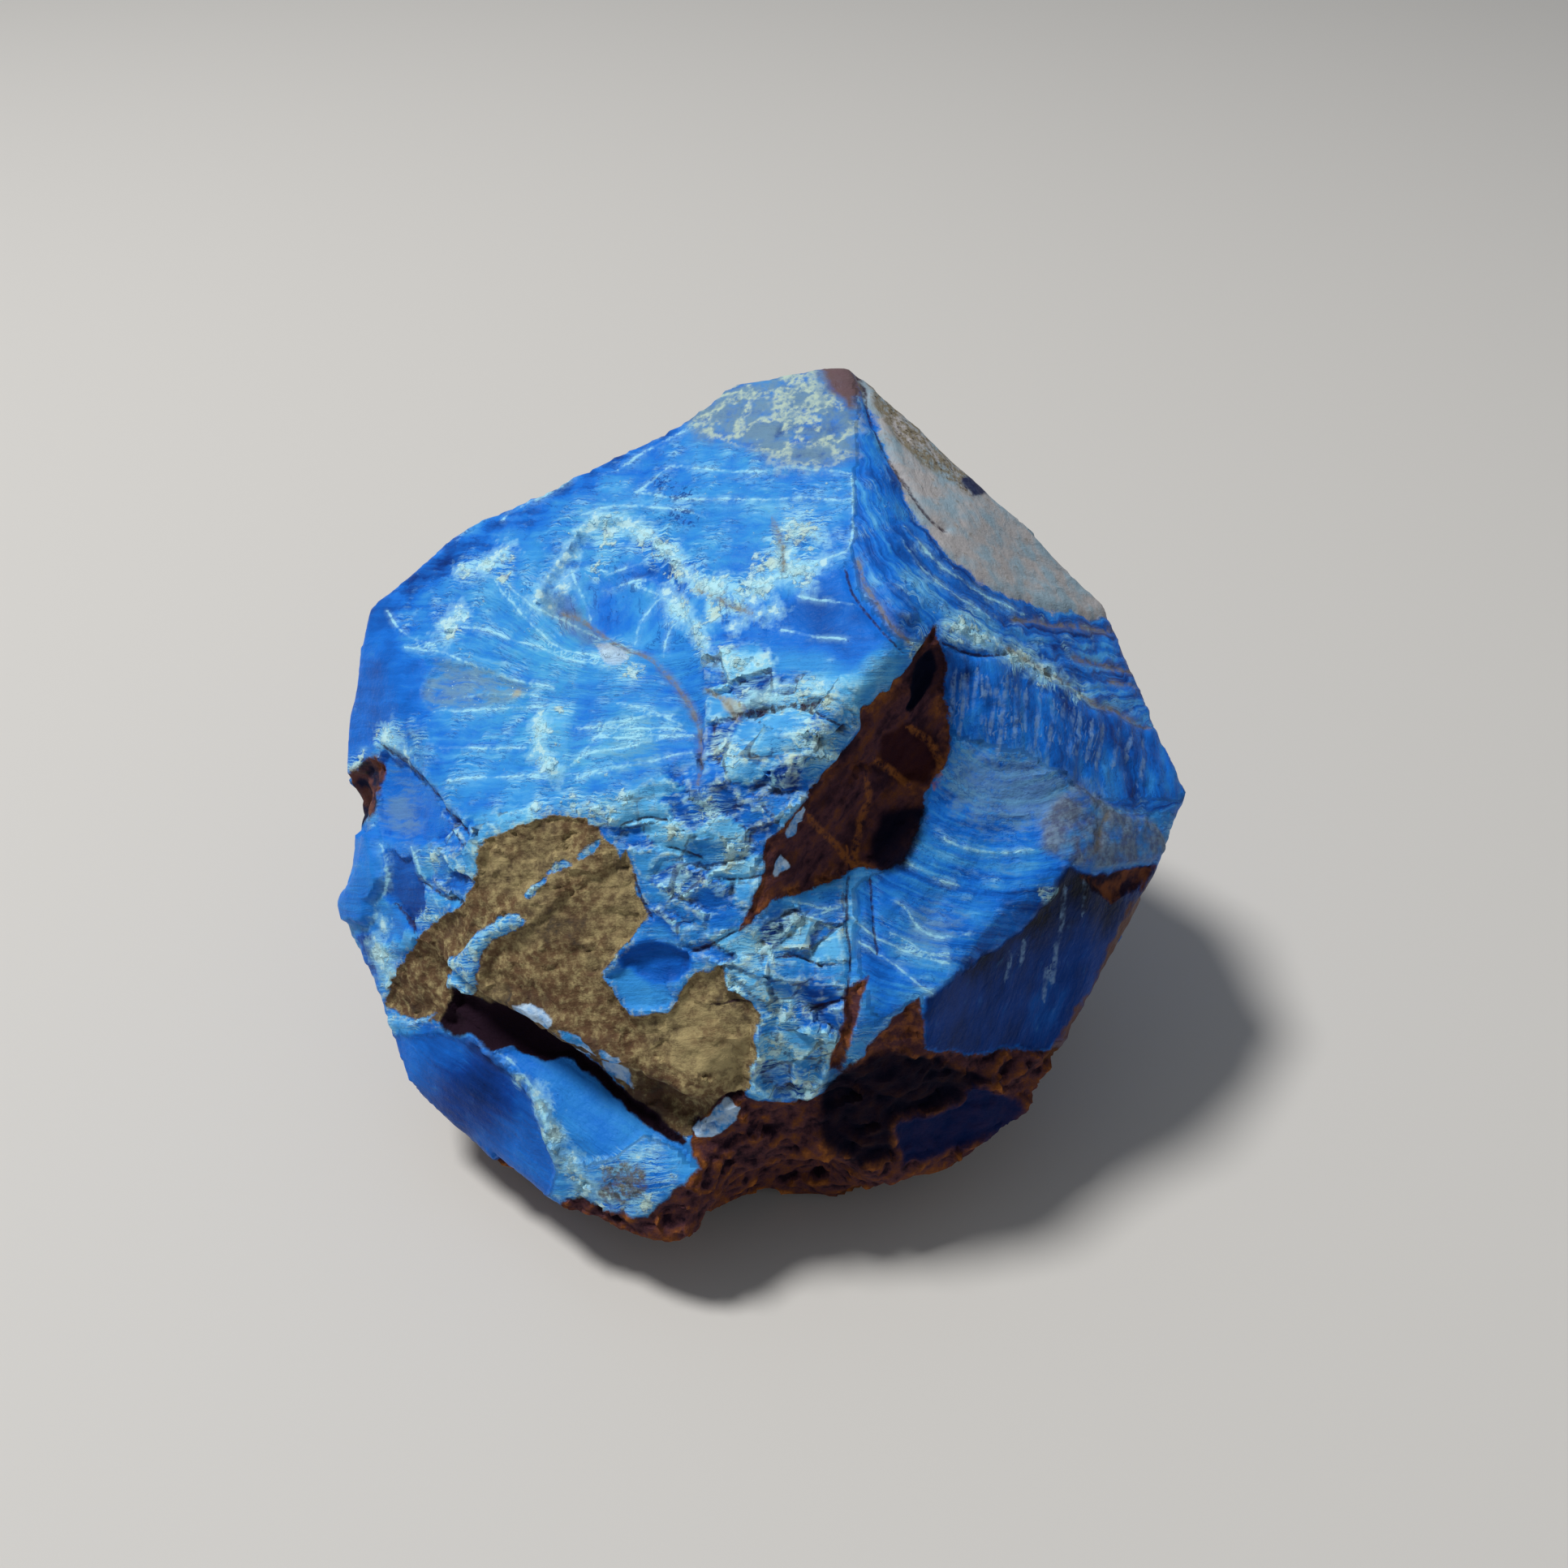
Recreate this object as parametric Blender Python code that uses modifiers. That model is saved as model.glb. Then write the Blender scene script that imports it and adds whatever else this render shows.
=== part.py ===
"""A rough lump of blue stone, broken on every side, that stands on a small flat of its own.

One piece: a convex block through the stone's outermost corners, from which step walls and an
undercut groove are broken away, and into whose faces shell-like scars are sunk.
Metres, +Z up, origin under the middle of the box. The lists below are in millimetres and are
measured before the last step, which moves the finished stone by a few millimetres to its origin.
"""

import math

import bmesh
import bpy
from mathutils import Matrix, Vector, noise

MM = 0.001
NODE_NAME = "blue_stone"
GRAIN = 1.5  # voxel side in millimetres: it rounds the broken edges
TRIANGLE_SHARE = 0.105  # of the skin's triangles that are kept
BASE_HEIGHT = 0.8  # where the underside is rubbed flat, in millimetres
CUTTER_ROOM = 500  # the side of the block that a break is cut from, in millimetres
WEATHERING = ((13, 0.6), (5, 0.3))  # waves in the skin: length and height in millimetres
BLUE = (0.05, 0.21, 0.52, 1.0)
ROUGHNESS = 0.45

# Outermost corners of the unbroken block, in millimetres: x to the right, y to the back, z up.
BLOCK_CORNERS = {
    "summit": (13, 59, 135),
    "summit_left": (3, 59, 134),
    "back_crest_high": (-14, 60, 129),
    "back_crest_middle": (-45, 54, 116),
    "back_crest_low": (-70, 46, 102),
    "left_shoulder": (-91, 37, 88),
    "left_cheek": (-92, 12, 65),
    "left_bump": (-93, -6, 50),
    "left_heel": (-87, -22, 30),
    "left_toe": (-77, -36, 22),
    "front_left_toe": (-45, -62, 18),
    "front_toe": (-28, -70, 18),
    "front_toe_right": (-18, -72, 19),
    "right_toe_front": (15, -61, 22),
    "right_toe_middle": (34, -55, 22),
    "right_toe": (45, -48, 24),
    "right_heel": (54, -39, 32),
    "right_brow": (75, -12, 60),
    "right_corner": (83, 3, 67),
    "right_crest": (68, 38, 90),
    "right_crest_high": (39, 43, 115),
    "ridge_high": (15, 27, 126),
    "ridge_middle": (14, 2, 118),
    "ridge_low": (20, -10, 116),
    "ridge_end": (28, -7, 113),
    "front_knee": (52, -29, 75),
    "front_knee_low": (31, -47, 66),
    "front_knee_foot": (22, -54, 60),
    "brow_middle": (13, -28, 108),
    "brow_left": (3, -34, 95),
    "ledge_middle": (-14, -30, 97),
    "ledge_left": (-56, -28, 83),
    "rind_lip": (-17, -64, 43),
    "rind_lip_middle": (-40, -52, 52),
    "rind_lip_left": (-63, -39, 50),
    "back_top_left": (-62, 66, 72),
    "back_top_middle": (-10, 82, 84),
    "back_top_right": (46, 68, 74),
    "back_low_left": (-70, 58, 30),
    "back_low_middle": (-12, 84, 34),
    "back_low_right": (58, 56, 28),
    "right_low": (74, 18, 30),
    "base_front_left": (-50, -38, 0),
    "base_front_right": (22, -42, 0),
    "base_left": (-62, 2, 0),
    "base_back_left": (-46, 46, 0),
    "base_back_right": (34, 50, 0),
    "base_right": (50, 2, 0),
}

# Breaks: the stone is missing where a point lies beyond every plane of a break. Each plane is a point
# on it in millimetres and the way that it faces.
BREAKS = {
    "shell_scar": (
        ((30, -15, 88), (0.16, -0.58, 0.80)),  # its long floor
        ((28, -7, 112), (0.62, -0.71, 0.18)),  # the shaded wall at its left
        ((31, -7, 100), (-0.22, -0.92, 0.32)),  # the hackled wall behind it
    ),
    "bank": (((59, -17, 83), (0.56, -0.35, 0.75)),),
    "under_lip_front": (
        ((-31, -59, 35), (-0.03, -0.40, 0.92)),
        ((-40, -52, 52), (-0.27, -0.24, -0.93)),
        ((-38, -45, 45), (-0.46, -0.88, 0.10)),
    ),
    "under_lip_left": (
        ((-58, -46, 34), (-0.49, -0.58, 0.66)),
        ((-40, -52, 52), (-0.27, -0.24, -0.93)),
        ((-60, -40, 42), (-0.60, -0.79, 0.10)),
    ),
    "front_foot": (
        ((14, -60, 24), (0.06, -0.98, 0.16)),
        ((-13, -66, 22), (0.74, -0.65, 0.15)),
    ),
    "crest_bevel": (((-45, 55, 116), (-0.55, 0.42, 0.72)),),
}

# Shell-like scars: centre in millimetres, the way the scar faces, half its width and its depth.
SCARS = {
    "knee_hollow": ((46, -38, 55), (0.56, -0.79, 0.23), 20, 2.5),
    "heel_hollow": ((32, -54, 34), (0.35, -0.92, 0.10), 14, 2.5),
    "foot_notch": ((3, -61, 18), (0.05, -0.80, -0.60), 17, 8.5),
    "crown_flake": ((-31, 21, 109), (-0.31, -0.32, 0.89), 18, 1.3),
    "shoulder_flake": ((-57, 6, 94), (-0.39, -0.30, 0.87), 26, 1.5),
    "left_chip": ((-77, -5, 74), (-0.73, -0.43, 0.53), 13, 3.0),
    "left_notch": ((-91, -1, 60), (-0.96, -0.20, 0.10), 14, 6.0),
    "cheek_chip": ((-81, -19, 54), (-0.68, -0.66, 0.32), 12, 2.0),
    "rind_step": ((-28, -50, 63), (-0.10, -0.80, 0.59), 9, 1.5),
    "back_left_shell": ((-38, 72, 76), (-0.28, 0.80, 0.53), 33, 4.5),
    "back_right_shell": ((34, 66, 84), (0.34, 0.87, 0.36), 29, 4.0),
    "back_heel": ((-30, 80, 38), (-0.25, 0.96, -0.10), 38, 5.0),
    "back_foot_right": ((40, 66, 34), (0.55, 0.80, -0.22), 32, 5.0),
    "right_side": ((78, 20, 50), (0.90, 0.35, -0.25), 32, 4.0),
    "right_foot": ((62, -8, 24), (0.75, -0.40, -0.52), 28, 3.5),
    "left_side": ((-84, 38, 54), (-0.93, 0.36, -0.05), 28, 4.0),
    "left_foot": ((-76, 4, 22), (-0.78, -0.12, -0.61), 26, 3.5),
}


def start_clean():
    for thing in list(bpy.data.objects):
        bpy.data.objects.remove(thing, do_unlink=True)


def new_collection(name):
    made = bpy.data.collections.new(name)
    bpy.context.scene.collection.children.link(made)
    return made


def object_from(shape, name, home):
    """A new object that takes over a bmesh."""
    bmesh.ops.recalc_face_normals(shape, faces=shape.faces)
    mesh = bpy.data.meshes.new(name)
    shape.to_mesh(mesh)
    shape.free()
    thing = bpy.data.objects.new(name, mesh)
    home.objects.link(thing)
    return thing


def stone_material():
    made = bpy.data.materials.new("blue_stone")
    made.use_nodes = True
    shader = made.node_tree.nodes["Principled BSDF"]
    shader.inputs["Base Color"].default_value = BLUE
    shader.inputs["Roughness"].default_value = ROUGHNESS
    shader.inputs["Metallic"].default_value = 0.0
    return made


def block(home):
    """The convex hull of the named corners."""
    shape = bmesh.new()
    for corner in BLOCK_CORNERS.values():
        shape.verts.new(Vector(corner) * MM)
    made = bmesh.ops.convex_hull(shape, input=shape.verts)
    inside = {v for v in made["geom_interior"] + made["geom_unused"] if isinstance(v, bmesh.types.BMVert)}
    bmesh.ops.delete(shape, geom=list(inside), context="VERTS")
    return object_from(shape, NODE_NAME, home)


def break_cutter(name, planes, home):
    """The room beyond all the planes of a break."""
    shape = bmesh.new()
    bmesh.ops.create_cube(shape, size=CUTTER_ROOM * MM)
    for point, facing in planes:
        everything = shape.verts[:] + shape.edges[:] + shape.faces[:]
        made = bmesh.ops.bisect_plane(
            shape, geom=everything, plane_co=Vector(point) * MM, plane_no=Vector(facing), clear_inner=True
        )
        rim = [e for e in made["geom_cut"] if isinstance(e, bmesh.types.BMEdge)]
        bmesh.ops.contextual_create(shape, geom=rim)
    cutter = object_from(shape, "break_" + name, home)
    cutter.hide_render = True
    cutter.display_type = "WIRE"
    return cutter


def cut(stone, cutter):
    difference = stone.modifiers.new(cutter.name, "BOOLEAN")
    difference.operation = "DIFFERENCE"
    difference.solver = "EXACT"
    difference.object = cutter


def bake(thing):
    """Turn the modifiers into plain mesh."""
    graph = bpy.context.evaluated_depsgraph_get()
    thing.data = bpy.data.meshes.new_from_object(thing.evaluated_get(graph))
    thing.modifiers.clear()


def skin_over(stone):
    """Wrap the block in an even skin, which rounds its broken edges by the voxel grain."""
    skin = stone.modifiers.new("skin", "REMESH")
    skin.mode = "VOXEL"
    skin.voxel_size = GRAIN * MM
    bake(stone)


def sink_scar(stone, centre, facing, half_width, depth):
    """Sink the skin onto a ball that dips in by depth over a round mouth of half_width."""
    radius = (half_width**2 + depth**2) / (2 * depth)
    out = Vector(facing).normalized()
    middle = Vector(centre) + out * (radius - depth)
    for vertex in stone.data.vertices:
        reach = vertex.co / MM - middle
        inside = radius**2 - reach.length_squared
        if inside > 0:
            along = reach.dot(out)
            vertex.co -= out * (along + math.sqrt(along**2 + inside)) * MM


def weather(stone):
    """Lift and sink the skin by less than a millimetre, then keep a share of its triangles."""
    outward = [vertex.normal.copy() for vertex in stone.data.vertices]
    for vertex, out in zip(stone.data.vertices, outward):
        at = vertex.co / MM
        lift = sum(height * noise.noise(at / length) for length, height in WEATHERING)
        vertex.co += out * lift * MM
    thin = stone.modifiers.new("thin", "DECIMATE")
    thin.ratio = TRIANGLE_SHARE
    bake(stone)


def rub_base_flat(stone):
    shape = bmesh.new()
    shape.from_mesh(stone.data)
    everything = shape.verts[:] + shape.edges[:] + shape.faces[:]
    made = bmesh.ops.bisect_plane(
        shape, geom=everything, plane_co=(0, 0, BASE_HEIGHT * MM), plane_no=(0, 0, 1), clear_inner=True
    )
    rim = [e for e in made["geom_cut"] if isinstance(e, bmesh.types.BMEdge)]
    bmesh.ops.triangle_fill(shape, edges=rim, use_beauty=True)
    bmesh.ops.recalc_face_normals(shape, faces=shape.faces)
    shape.to_mesh(stone.data)
    shape.free()


def stand_on_origin(stone):
    """Bring the middle of the box's underside to the origin."""
    corners = [Vector(corner) for corner in stone.bound_box]
    low = Vector(map(min, zip(*corners)))
    high = Vector(map(max, zip(*corners)))
    middle = (low + high) / 2
    stone.data.transform(Matrix.Translation((-middle.x, -middle.y, -low.z)))


def main():
    start_clean()
    home = new_collection("rough_blue_stone")
    workshop = new_collection("cutters")
    stone = block(home)
    for name, planes in BREAKS.items():
        cut(stone, break_cutter(name, planes, workshop))
    bake(stone)
    for cutter in list(workshop.objects):
        bpy.data.objects.remove(cutter, do_unlink=True)
    skin_over(stone)
    for scar in SCARS.values():
        sink_scar(stone, *scar)
    weather(stone)
    rub_base_flat(stone)
    stand_on_origin(stone)
    stone.data.materials.append(stone_material())


if __name__ == "__main__":
    main()
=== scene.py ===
"""A rough blue stone: banded glassy blue with pale crumbs, brown rind and shell-like breaks.

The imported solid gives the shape. A fine skin is cast over it, chipped and rippled in code, and
painted by what its points know: which break, band, crack or rind they lie on. Metres, +Z up.
Outlines are drawn on a square sheet of 1932 steps, held between a fixed eye and the stone.
"""

import itertools
import math

import bpy
import numpy as np
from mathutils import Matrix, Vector
from mathutils.bvhtree import BVHTree


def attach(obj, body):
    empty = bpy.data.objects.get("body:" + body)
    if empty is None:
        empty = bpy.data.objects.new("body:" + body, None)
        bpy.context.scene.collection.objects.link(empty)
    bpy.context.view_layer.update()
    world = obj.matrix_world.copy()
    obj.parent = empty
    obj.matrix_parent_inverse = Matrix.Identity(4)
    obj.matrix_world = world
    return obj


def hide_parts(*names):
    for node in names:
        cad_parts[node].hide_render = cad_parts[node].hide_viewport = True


bl_info = {
    "name": "Rough Blue Stone",
    "version": (1, 0, 0),
    "blender": (4, 5, 0),
    "location": "View3D > Sidebar > Blue Stone",
    "description": "Casts, chips and paints a rough lump of banded blue stone, and lights it",
    "category": "Object",
}

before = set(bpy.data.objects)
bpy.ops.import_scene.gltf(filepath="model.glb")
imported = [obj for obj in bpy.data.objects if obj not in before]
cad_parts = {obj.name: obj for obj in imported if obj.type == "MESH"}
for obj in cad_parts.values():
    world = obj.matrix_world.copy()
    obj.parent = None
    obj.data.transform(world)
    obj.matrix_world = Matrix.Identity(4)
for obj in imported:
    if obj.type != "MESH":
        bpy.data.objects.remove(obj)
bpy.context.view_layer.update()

MM = 0.001
NODE = "blue_stone"
BODY = "root"
SKIN = "stone_skin"

# The eye and its sheet.
SHEET = 1932.0
EYE = np.array((0.00452, -0.25093, 0.26920))
EYE_DOWN = math.radians(39)
AHEAD = np.array((0, math.cos(EYE_DOWN), -math.sin(EYE_DOWN)))
UP = np.array((0, math.sin(EYE_DOWN), math.cos(EYE_DOWN)))
STEP = 0.155  # what one step of the sheet spans on the stone, in millimetres
FAR_OFF = 60.0  # a distance that is out of every line's and outline's reach, in steps

# How squarely a place has to face the eye, as a cosine: to be seen, and to be cast twice as fine.
SEEN_AT = 0.03
FINE_AT = 0.08
# The share of seen points round a point that puts it on the face, and in plain view.
ON_FACE = 0.02
IN_VIEW = 0.4
SAME_POINT = 0.01 * MM
SHARP = math.radians(38)  # edges that turn by more than this stay sharp
FOOT = (0.4 * MM, 4 * MM)  # the relief fades away below these heights

# The lamps stand round this point and shine at it.
MIDDLE = (0, 0, 0.07)
KEY_TOWARDS = (-0.41, 0.09, 0.91)
KEY_FAR = 2.0
KEY_SIZE = 0.44
KEY_COLOUR = (1.0, 0.98, 0.95)
FILL_PLACE = (0.7, -0.9, 0.55)
FILL_SIZE = 0.9
FILL_COLOUR = (0.94, 0.97, 1.0)
LENS = 36.0  # focal length, and the sensor's width, in millimetres
NEAREST = 0.01
FLOOR_ROUGHNESS = 0.75
IOR = 1.22
BUMP = (0.7, 0.5 * MM)  # share and depth of the finest grain


# ---------------------------------------------------------------- outlines on the sheet, in steps

# The shallow shell in the bright face: the line along its bottom, and its rim.
SCAR = {
    "valley": (
        (662, 748), (690, 752), (720, 756), (744, 778), (768, 788), (799, 802), (820, 826), (840, 850),
        (854, 878), (861, 912), (857, 965),
    ),
    "rim": (
        (662, 748), (682, 702), (706, 667), (723, 643), (760, 638), (792, 664), (824, 684), (838, 722),
        (850, 755), (866, 785), (872, 830), (868, 880), (864, 930), (857, 965),
    ),
}
SCAR_FLOOR = SCAR["rim"] + SCAR["valley"][-2:0:-1]
# Parts of the face.
OUTLINES = {
    "left_strip": (
        (437, 757), (478, 722), (491, 790), (523, 826), (520, 874), (472, 895), (440, 965), (415, 960),
        (420, 850),
    ),
    "grey_sparkle": ((537, 816), (585, 819), (627, 836), (661, 853), (613, 867), (534, 876), (520, 857)),
    "clear_right": (
        (1048, 689), (1063, 737), (1104, 785), (1048, 832), (963, 830), (937, 785), (974, 744), (1004, 711),
    ),
    "clear_middle": ((905, 740), (960, 725), (1000, 790), (960, 850), (905, 835), (880, 790)),
    "mottled_top": (
        (850, 516), (853, 540), (919, 547), (960, 575), (1022, 570), (1052, 558), (1058, 520), (1040, 490),
        (1022, 478), (1003, 445), (900, 455), (855, 480),
    ),
    "summit": ((1000, 440), (1052, 435), (1064, 478), (1050, 502), (1025, 482)),
    "plate": (
        (1057, 470), (1074, 511), (1092, 552), (1107, 589), (1122, 622), (1141, 652), (1167, 685),
        (1196, 709), (1222, 726), (1252, 741), (1289, 752), (1326, 759), (1370, 763), (1430, 740),
        (1350, 640), (1270, 570), (1190, 500), (1110, 430), (1052, 440),
    ),
    "plate_rim": (
        (1066, 462), (1107, 495), (1145, 525), (1190, 550), (1222, 600), (1192, 613), (1174, 598),
        (1137, 572), (1107, 545), (1081, 511),
    ),
    "navy_spot": ((1180, 592), (1198, 575), (1222, 606), (1197, 613)),
    "wavy_lens": (
        (1066, 690), (1085, 704), (1122, 737), (1131, 765), (1110, 768), (1080, 740), (1064, 715),
    ),
    "hackled": (
        (1165, 803), (1245, 806), (1304, 845), (1360, 876), (1420, 900), (1470, 950), (1462, 985),
        (1350, 985), (1300, 950), (1250, 922), (1170, 905),
    ),
    "bowl": (
        (1166, 905), (1250, 922), (1310, 955), (1350, 990), (1345, 1040), (1313, 1068), (1296, 1102),
        (1258, 1144), (1216, 1169), (1178, 1199), (1140, 1226), (1085, 1262), (1058, 1210), (1050, 1100),
        (1085, 1074), (1130, 1022), (1142, 972),
    ),
    "grey_patch": (
        (1275, 1010), (1330, 965), (1362, 990), (1397, 1001), (1426, 1022), (1440, 1047), (1418, 1064),
        (1346, 1071), (1310, 1060), (1280, 1040),
    ),
    # The pit, its eye, spot and shade: their brown and black are painted shadow, where the ridge shades the
    # hollow.
    "pit": (
        (1152, 765), (1156, 778), (1163, 804), (1167, 837), (1165, 874), (1167, 907), (1159, 948),
        (1137, 975), (1131, 1020), (1112, 1060), (1085, 1073), (1051, 1076), (1014, 1089), (984, 1098),
        (955, 1110), (925, 1136), (905, 1152), (921, 1127), (937, 1085), (940, 1047), (955, 1026),
        (976, 1005), (997, 976), (1030, 938), (1058, 900), (1063, 878), (1100, 844), (1122, 818),
        (1140, 789),
    ),
    "pit_eye": ((1152, 800), (1157, 822), (1148, 850), (1128, 876), (1118, 880), (1117, 850), (1132, 818)),
    "pit_spot": ((1118, 893), (1150, 905), (1158, 935), (1140, 962), (1108, 962), (1085, 935), (1092, 905)),
    "pit_shade": ((1131, 997), (1128, 1030), (1108, 1062), (1085, 1068), (1081, 1040), (1098, 1010)),
    "sliver_high": ((990, 996), (994, 1004), (980, 1027), (970, 1030), (968, 1022)),
    "sliver_low": ((966, 1052), (968, 1066), (958, 1084), (952, 1080), (953, 1064)),
    "rind_arm": (
        (598, 1032), (636, 1019), (674, 1006), (703, 1002), (724, 1008), (722, 1032), (712, 1046),
        (678, 1061), (653, 1095), (627, 1120), (610, 1128), (590, 1154), (560, 1175), (552, 1200),
        (556, 1217), (568, 1230), (547, 1262), (497, 1252), (476, 1242), (480, 1217), (490, 1192),
        (505, 1170), (522, 1150), (543, 1133), (568, 1114), (577, 1099), (585, 1074),
    ),
    "rind_main": (
        (762, 1057), (770, 1042), (775, 1065), (783, 1099), (796, 1128), (781, 1156), (758, 1175),
        (743, 1202), (756, 1230), (779, 1250), (821, 1246), (842, 1221), (863, 1194), (888, 1189),
        (895, 1221), (922, 1234), (937, 1250), (933, 1293), (920, 1324), (910, 1345), (846, 1381),
        (821, 1370), (796, 1339), (779, 1305), (762, 1284), (720, 1276), (686, 1257), (640, 1238),
        (598, 1225), (590, 1213), (592, 1190), (615, 1162), (661, 1133), (695, 1099), (724, 1076),
    ),
    "rind_chip": (
        (745, 1204), (766, 1179), (800, 1163), (842, 1166), (853, 1192), (838, 1213), (821, 1202),
        (823, 1240), (792, 1247), (766, 1238), (752, 1217),
    ),
    "loop_flake": (
        (850, 1392), (868, 1374), (898, 1360), (912, 1366), (908, 1378), (890, 1390), (874, 1400),
        (858, 1402),
    ),
    "left_shell": (
        (440, 1242), (470, 1252), (500, 1258), (536, 1254), (520, 1268), (480, 1274), (446, 1262),
    ),
    "lip_sliver_1": ((632, 1238), (653, 1237), (682, 1256), (679, 1266), (653, 1255)),
    "lip_sliver_2": ((686, 1269), (720, 1279), (738, 1302), (712, 1294)),
    "lip_sliver_3": ((737, 1288), (766, 1304), (786, 1339), (749, 1323)),
    # The groove under the lip, painted dark as shadow.
    "groove": (
        (556, 1217), (590, 1230), (636, 1242), (661, 1259), (703, 1284), (737, 1310), (762, 1337),
        (804, 1368), (846, 1406), (838, 1413), (787, 1377), (737, 1337), (703, 1307), (670, 1305),
        (627, 1288), (606, 1295), (581, 1278), (547, 1272), (543, 1250),
    ),
    "left_facet": (
        (463, 1280), (547, 1274), (568, 1276), (585, 1288), (627, 1318), (661, 1347), (674, 1385),
        (686, 1423), (678, 1475), (640, 1480), (580, 1420), (515, 1365), (470, 1324), (440, 1290),
    ),
    "right_facet": (
        (606, 1297), (636, 1288), (703, 1305), (758, 1343), (800, 1377), (855, 1423), (867, 1440),
        (792, 1398), (766, 1423), (712, 1440), (691, 1423), (678, 1368), (653, 1335),
    ),
    "toe_crumb": (
        (686, 1427), (737, 1423), (796, 1396), (813, 1436), (840, 1448), (805, 1484), (758, 1500),
        (703, 1475),
    ),
    "notch_scar": (
        (474, 920), (505, 947), (535, 977), (564, 1019), (539, 1034), (509, 1036), (476, 1038), (463, 985),
        (459, 943),
    ),
    "notch_brown": ((425, 950), (452, 938), (466, 928), (468, 950), (460, 1000), (447, 1018), (420, 1012)),
    "cheek": (
        (440, 1016), (470, 1026), (469, 1046), (476, 1080), (476, 1098), (466, 1112), (464, 1130),
        (450, 1142), (420, 1136), (400, 1130), (395, 1060), (420, 1020),
    ),
    "flaky": (
        (873, 800), (1005, 798), (1072, 842), (1060, 880), (1030, 935), (975, 1003), (940, 1045),
        (935, 1085), (905, 1150), (960, 1125), (1048, 1090), (1046, 1210), (1040, 1300), (1000, 1345),
        (945, 1350), (915, 1340), (938, 1290), (938, 1248), (895, 1222), (888, 1190), (840, 1160),
        (798, 1128), (778, 1060), (770, 1030), (730, 1000), (800, 990), (866, 955),
    ),
    "ledge": (
        (440, 965), (470, 930), (560, 1010), (640, 990), (730, 985), (800, 965), (865, 935), (880, 975),
        (800, 1040), (725, 1030), (600, 1045), (590, 1090), (560, 1120), (500, 1100), (540, 1040),
    ),
    "knee": (
        (1312, 1068), (1296, 1102), (1258, 1144), (1216, 1169), (1178, 1199), (1144, 1228), (1138, 1258),
        (1144, 1293), (1195, 1298), (1249, 1292), (1293, 1292), (1335, 1262), (1370, 1200), (1400, 1144),
        (1440, 1080), (1425, 1068), (1338, 1078),
    ),
    "knee_olive": ((1330, 1081), (1425, 1068), (1408, 1094), (1367, 1112)),
    "amber_strip": (
        (1402, 1104), (1378, 1150), (1347, 1213), (1308, 1276), (1284, 1303), (1340, 1330), (1420, 1220),
        (1460, 1110), (1425, 1078),
    ),
    "wedge": (
        (1136, 1228), (1102, 1262), (1068, 1291), (1043, 1319), (1127, 1302), (1143, 1294), (1138, 1258),
    ),
    "talus": ((1043, 1220), (1068, 1203), (1056, 1258), (1040, 1318), (1020, 1320), (1038, 1260)),
    "strip_low": (
        (470, 1042), (494, 1056), (506, 1048), (512, 1070), (520, 1090), (524, 1110), (518, 1122),
        (512, 1140), (508, 1148), (488, 1116), (476, 1108), (477, 1088), (472, 1064),
    ),
    "facet_low": ((466, 1114), (488, 1118), (506, 1142), (468, 1166), (456, 1150), (456, 1136)),
    "low_flake": (
        (935, 1262), (960, 1230), (1003, 1240), (1028, 1272), (1030, 1300), (1010, 1330), (975, 1352),
        (945, 1350), (925, 1325),
    ),
    "lens_flake": ((925, 872), (960, 850), (1003, 837), (1037, 870), (1000, 880), (960, 880)),
    # Painted shade: a darker band along the upper silhouette, where the face turns from the light.
    "upper_edge_shade": (
        (430, 770), (437, 750), (553, 668), (706, 573), (847, 473), (906, 455), (1000, 435), (1000, 462),
        (915, 484), (860, 502), (722, 600), (570, 693), (455, 776),
    ),
    "yellow_speck": ((630, 851), (636, 848), (641, 852), (639, 858), (632, 858)),
    "cream_facet": ((871, 850), (916, 871), (902, 888)),
    "stripe_low": (
        (552, 1216), (554, 1192), (558, 1176), (576, 1160), (592, 1146), (614, 1131), (640, 1126),
        (652, 1132), (640, 1146), (620, 1150), (608, 1162), (596, 1172), (588, 1188), (585, 1204),
        (589, 1221), (572, 1229),
    ),
    "stripe_middle": ((645, 1104), (655, 1092), (672, 1082), (679, 1086), (668, 1098), (652, 1109)),
    "stripe_high": ((673, 1079), (684, 1065), (695, 1058), (697, 1066), (685, 1077)),
    "stripe_top": ((704, 1054), (722, 1040), (735, 1030), (740, 1036), (724, 1050), (710, 1060)),
    "rind_between": (
        (700, 1012), (728, 1016), (762, 1050), (770, 1100), (720, 1160), (660, 1200), (610, 1232),
        (560, 1232), (540, 1200), (570, 1130), (620, 1070), (660, 1030),
    ),
    "lip_rind": (
        (590, 1196), (640, 1205), (700, 1230), (760, 1250), (810, 1270), (860, 1300), (925, 1320),
        (915, 1370), (870, 1402), (842, 1400), (796, 1376), (764, 1336), (730, 1302), (684, 1274),
        (634, 1248), (590, 1234),
    ),
    "chip_shade": (
        (764, 1172), (798, 1158), (843, 1166), (855, 1193), (838, 1210), (798, 1210), (764, 1194),
    ),
    "chip_light": (
        (748, 1202), (769, 1199), (798, 1216), (824, 1216), (820, 1239), (798, 1250), (769, 1239),
        (757, 1222),
    ),
    "facet_light": ((468, 1166), (506, 1144), (514, 1154), (508, 1168), (490, 1178), (478, 1178)),
    "left_sliver": ((440, 1150), (456, 1150), (462, 1180), (466, 1240), (458, 1250), (448, 1220)),
    "toe_olive": ((741, 1442), (770, 1430), (798, 1440), (796, 1468), (768, 1488), (742, 1474)),
    "notch_face": (
        (474, 926), (500, 946), (525, 975), (540, 1000), (548, 1018), (520, 1036), (508, 1046), (494, 1054),
        (472, 1040), (464, 1000), (462, 960),
    ),
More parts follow.
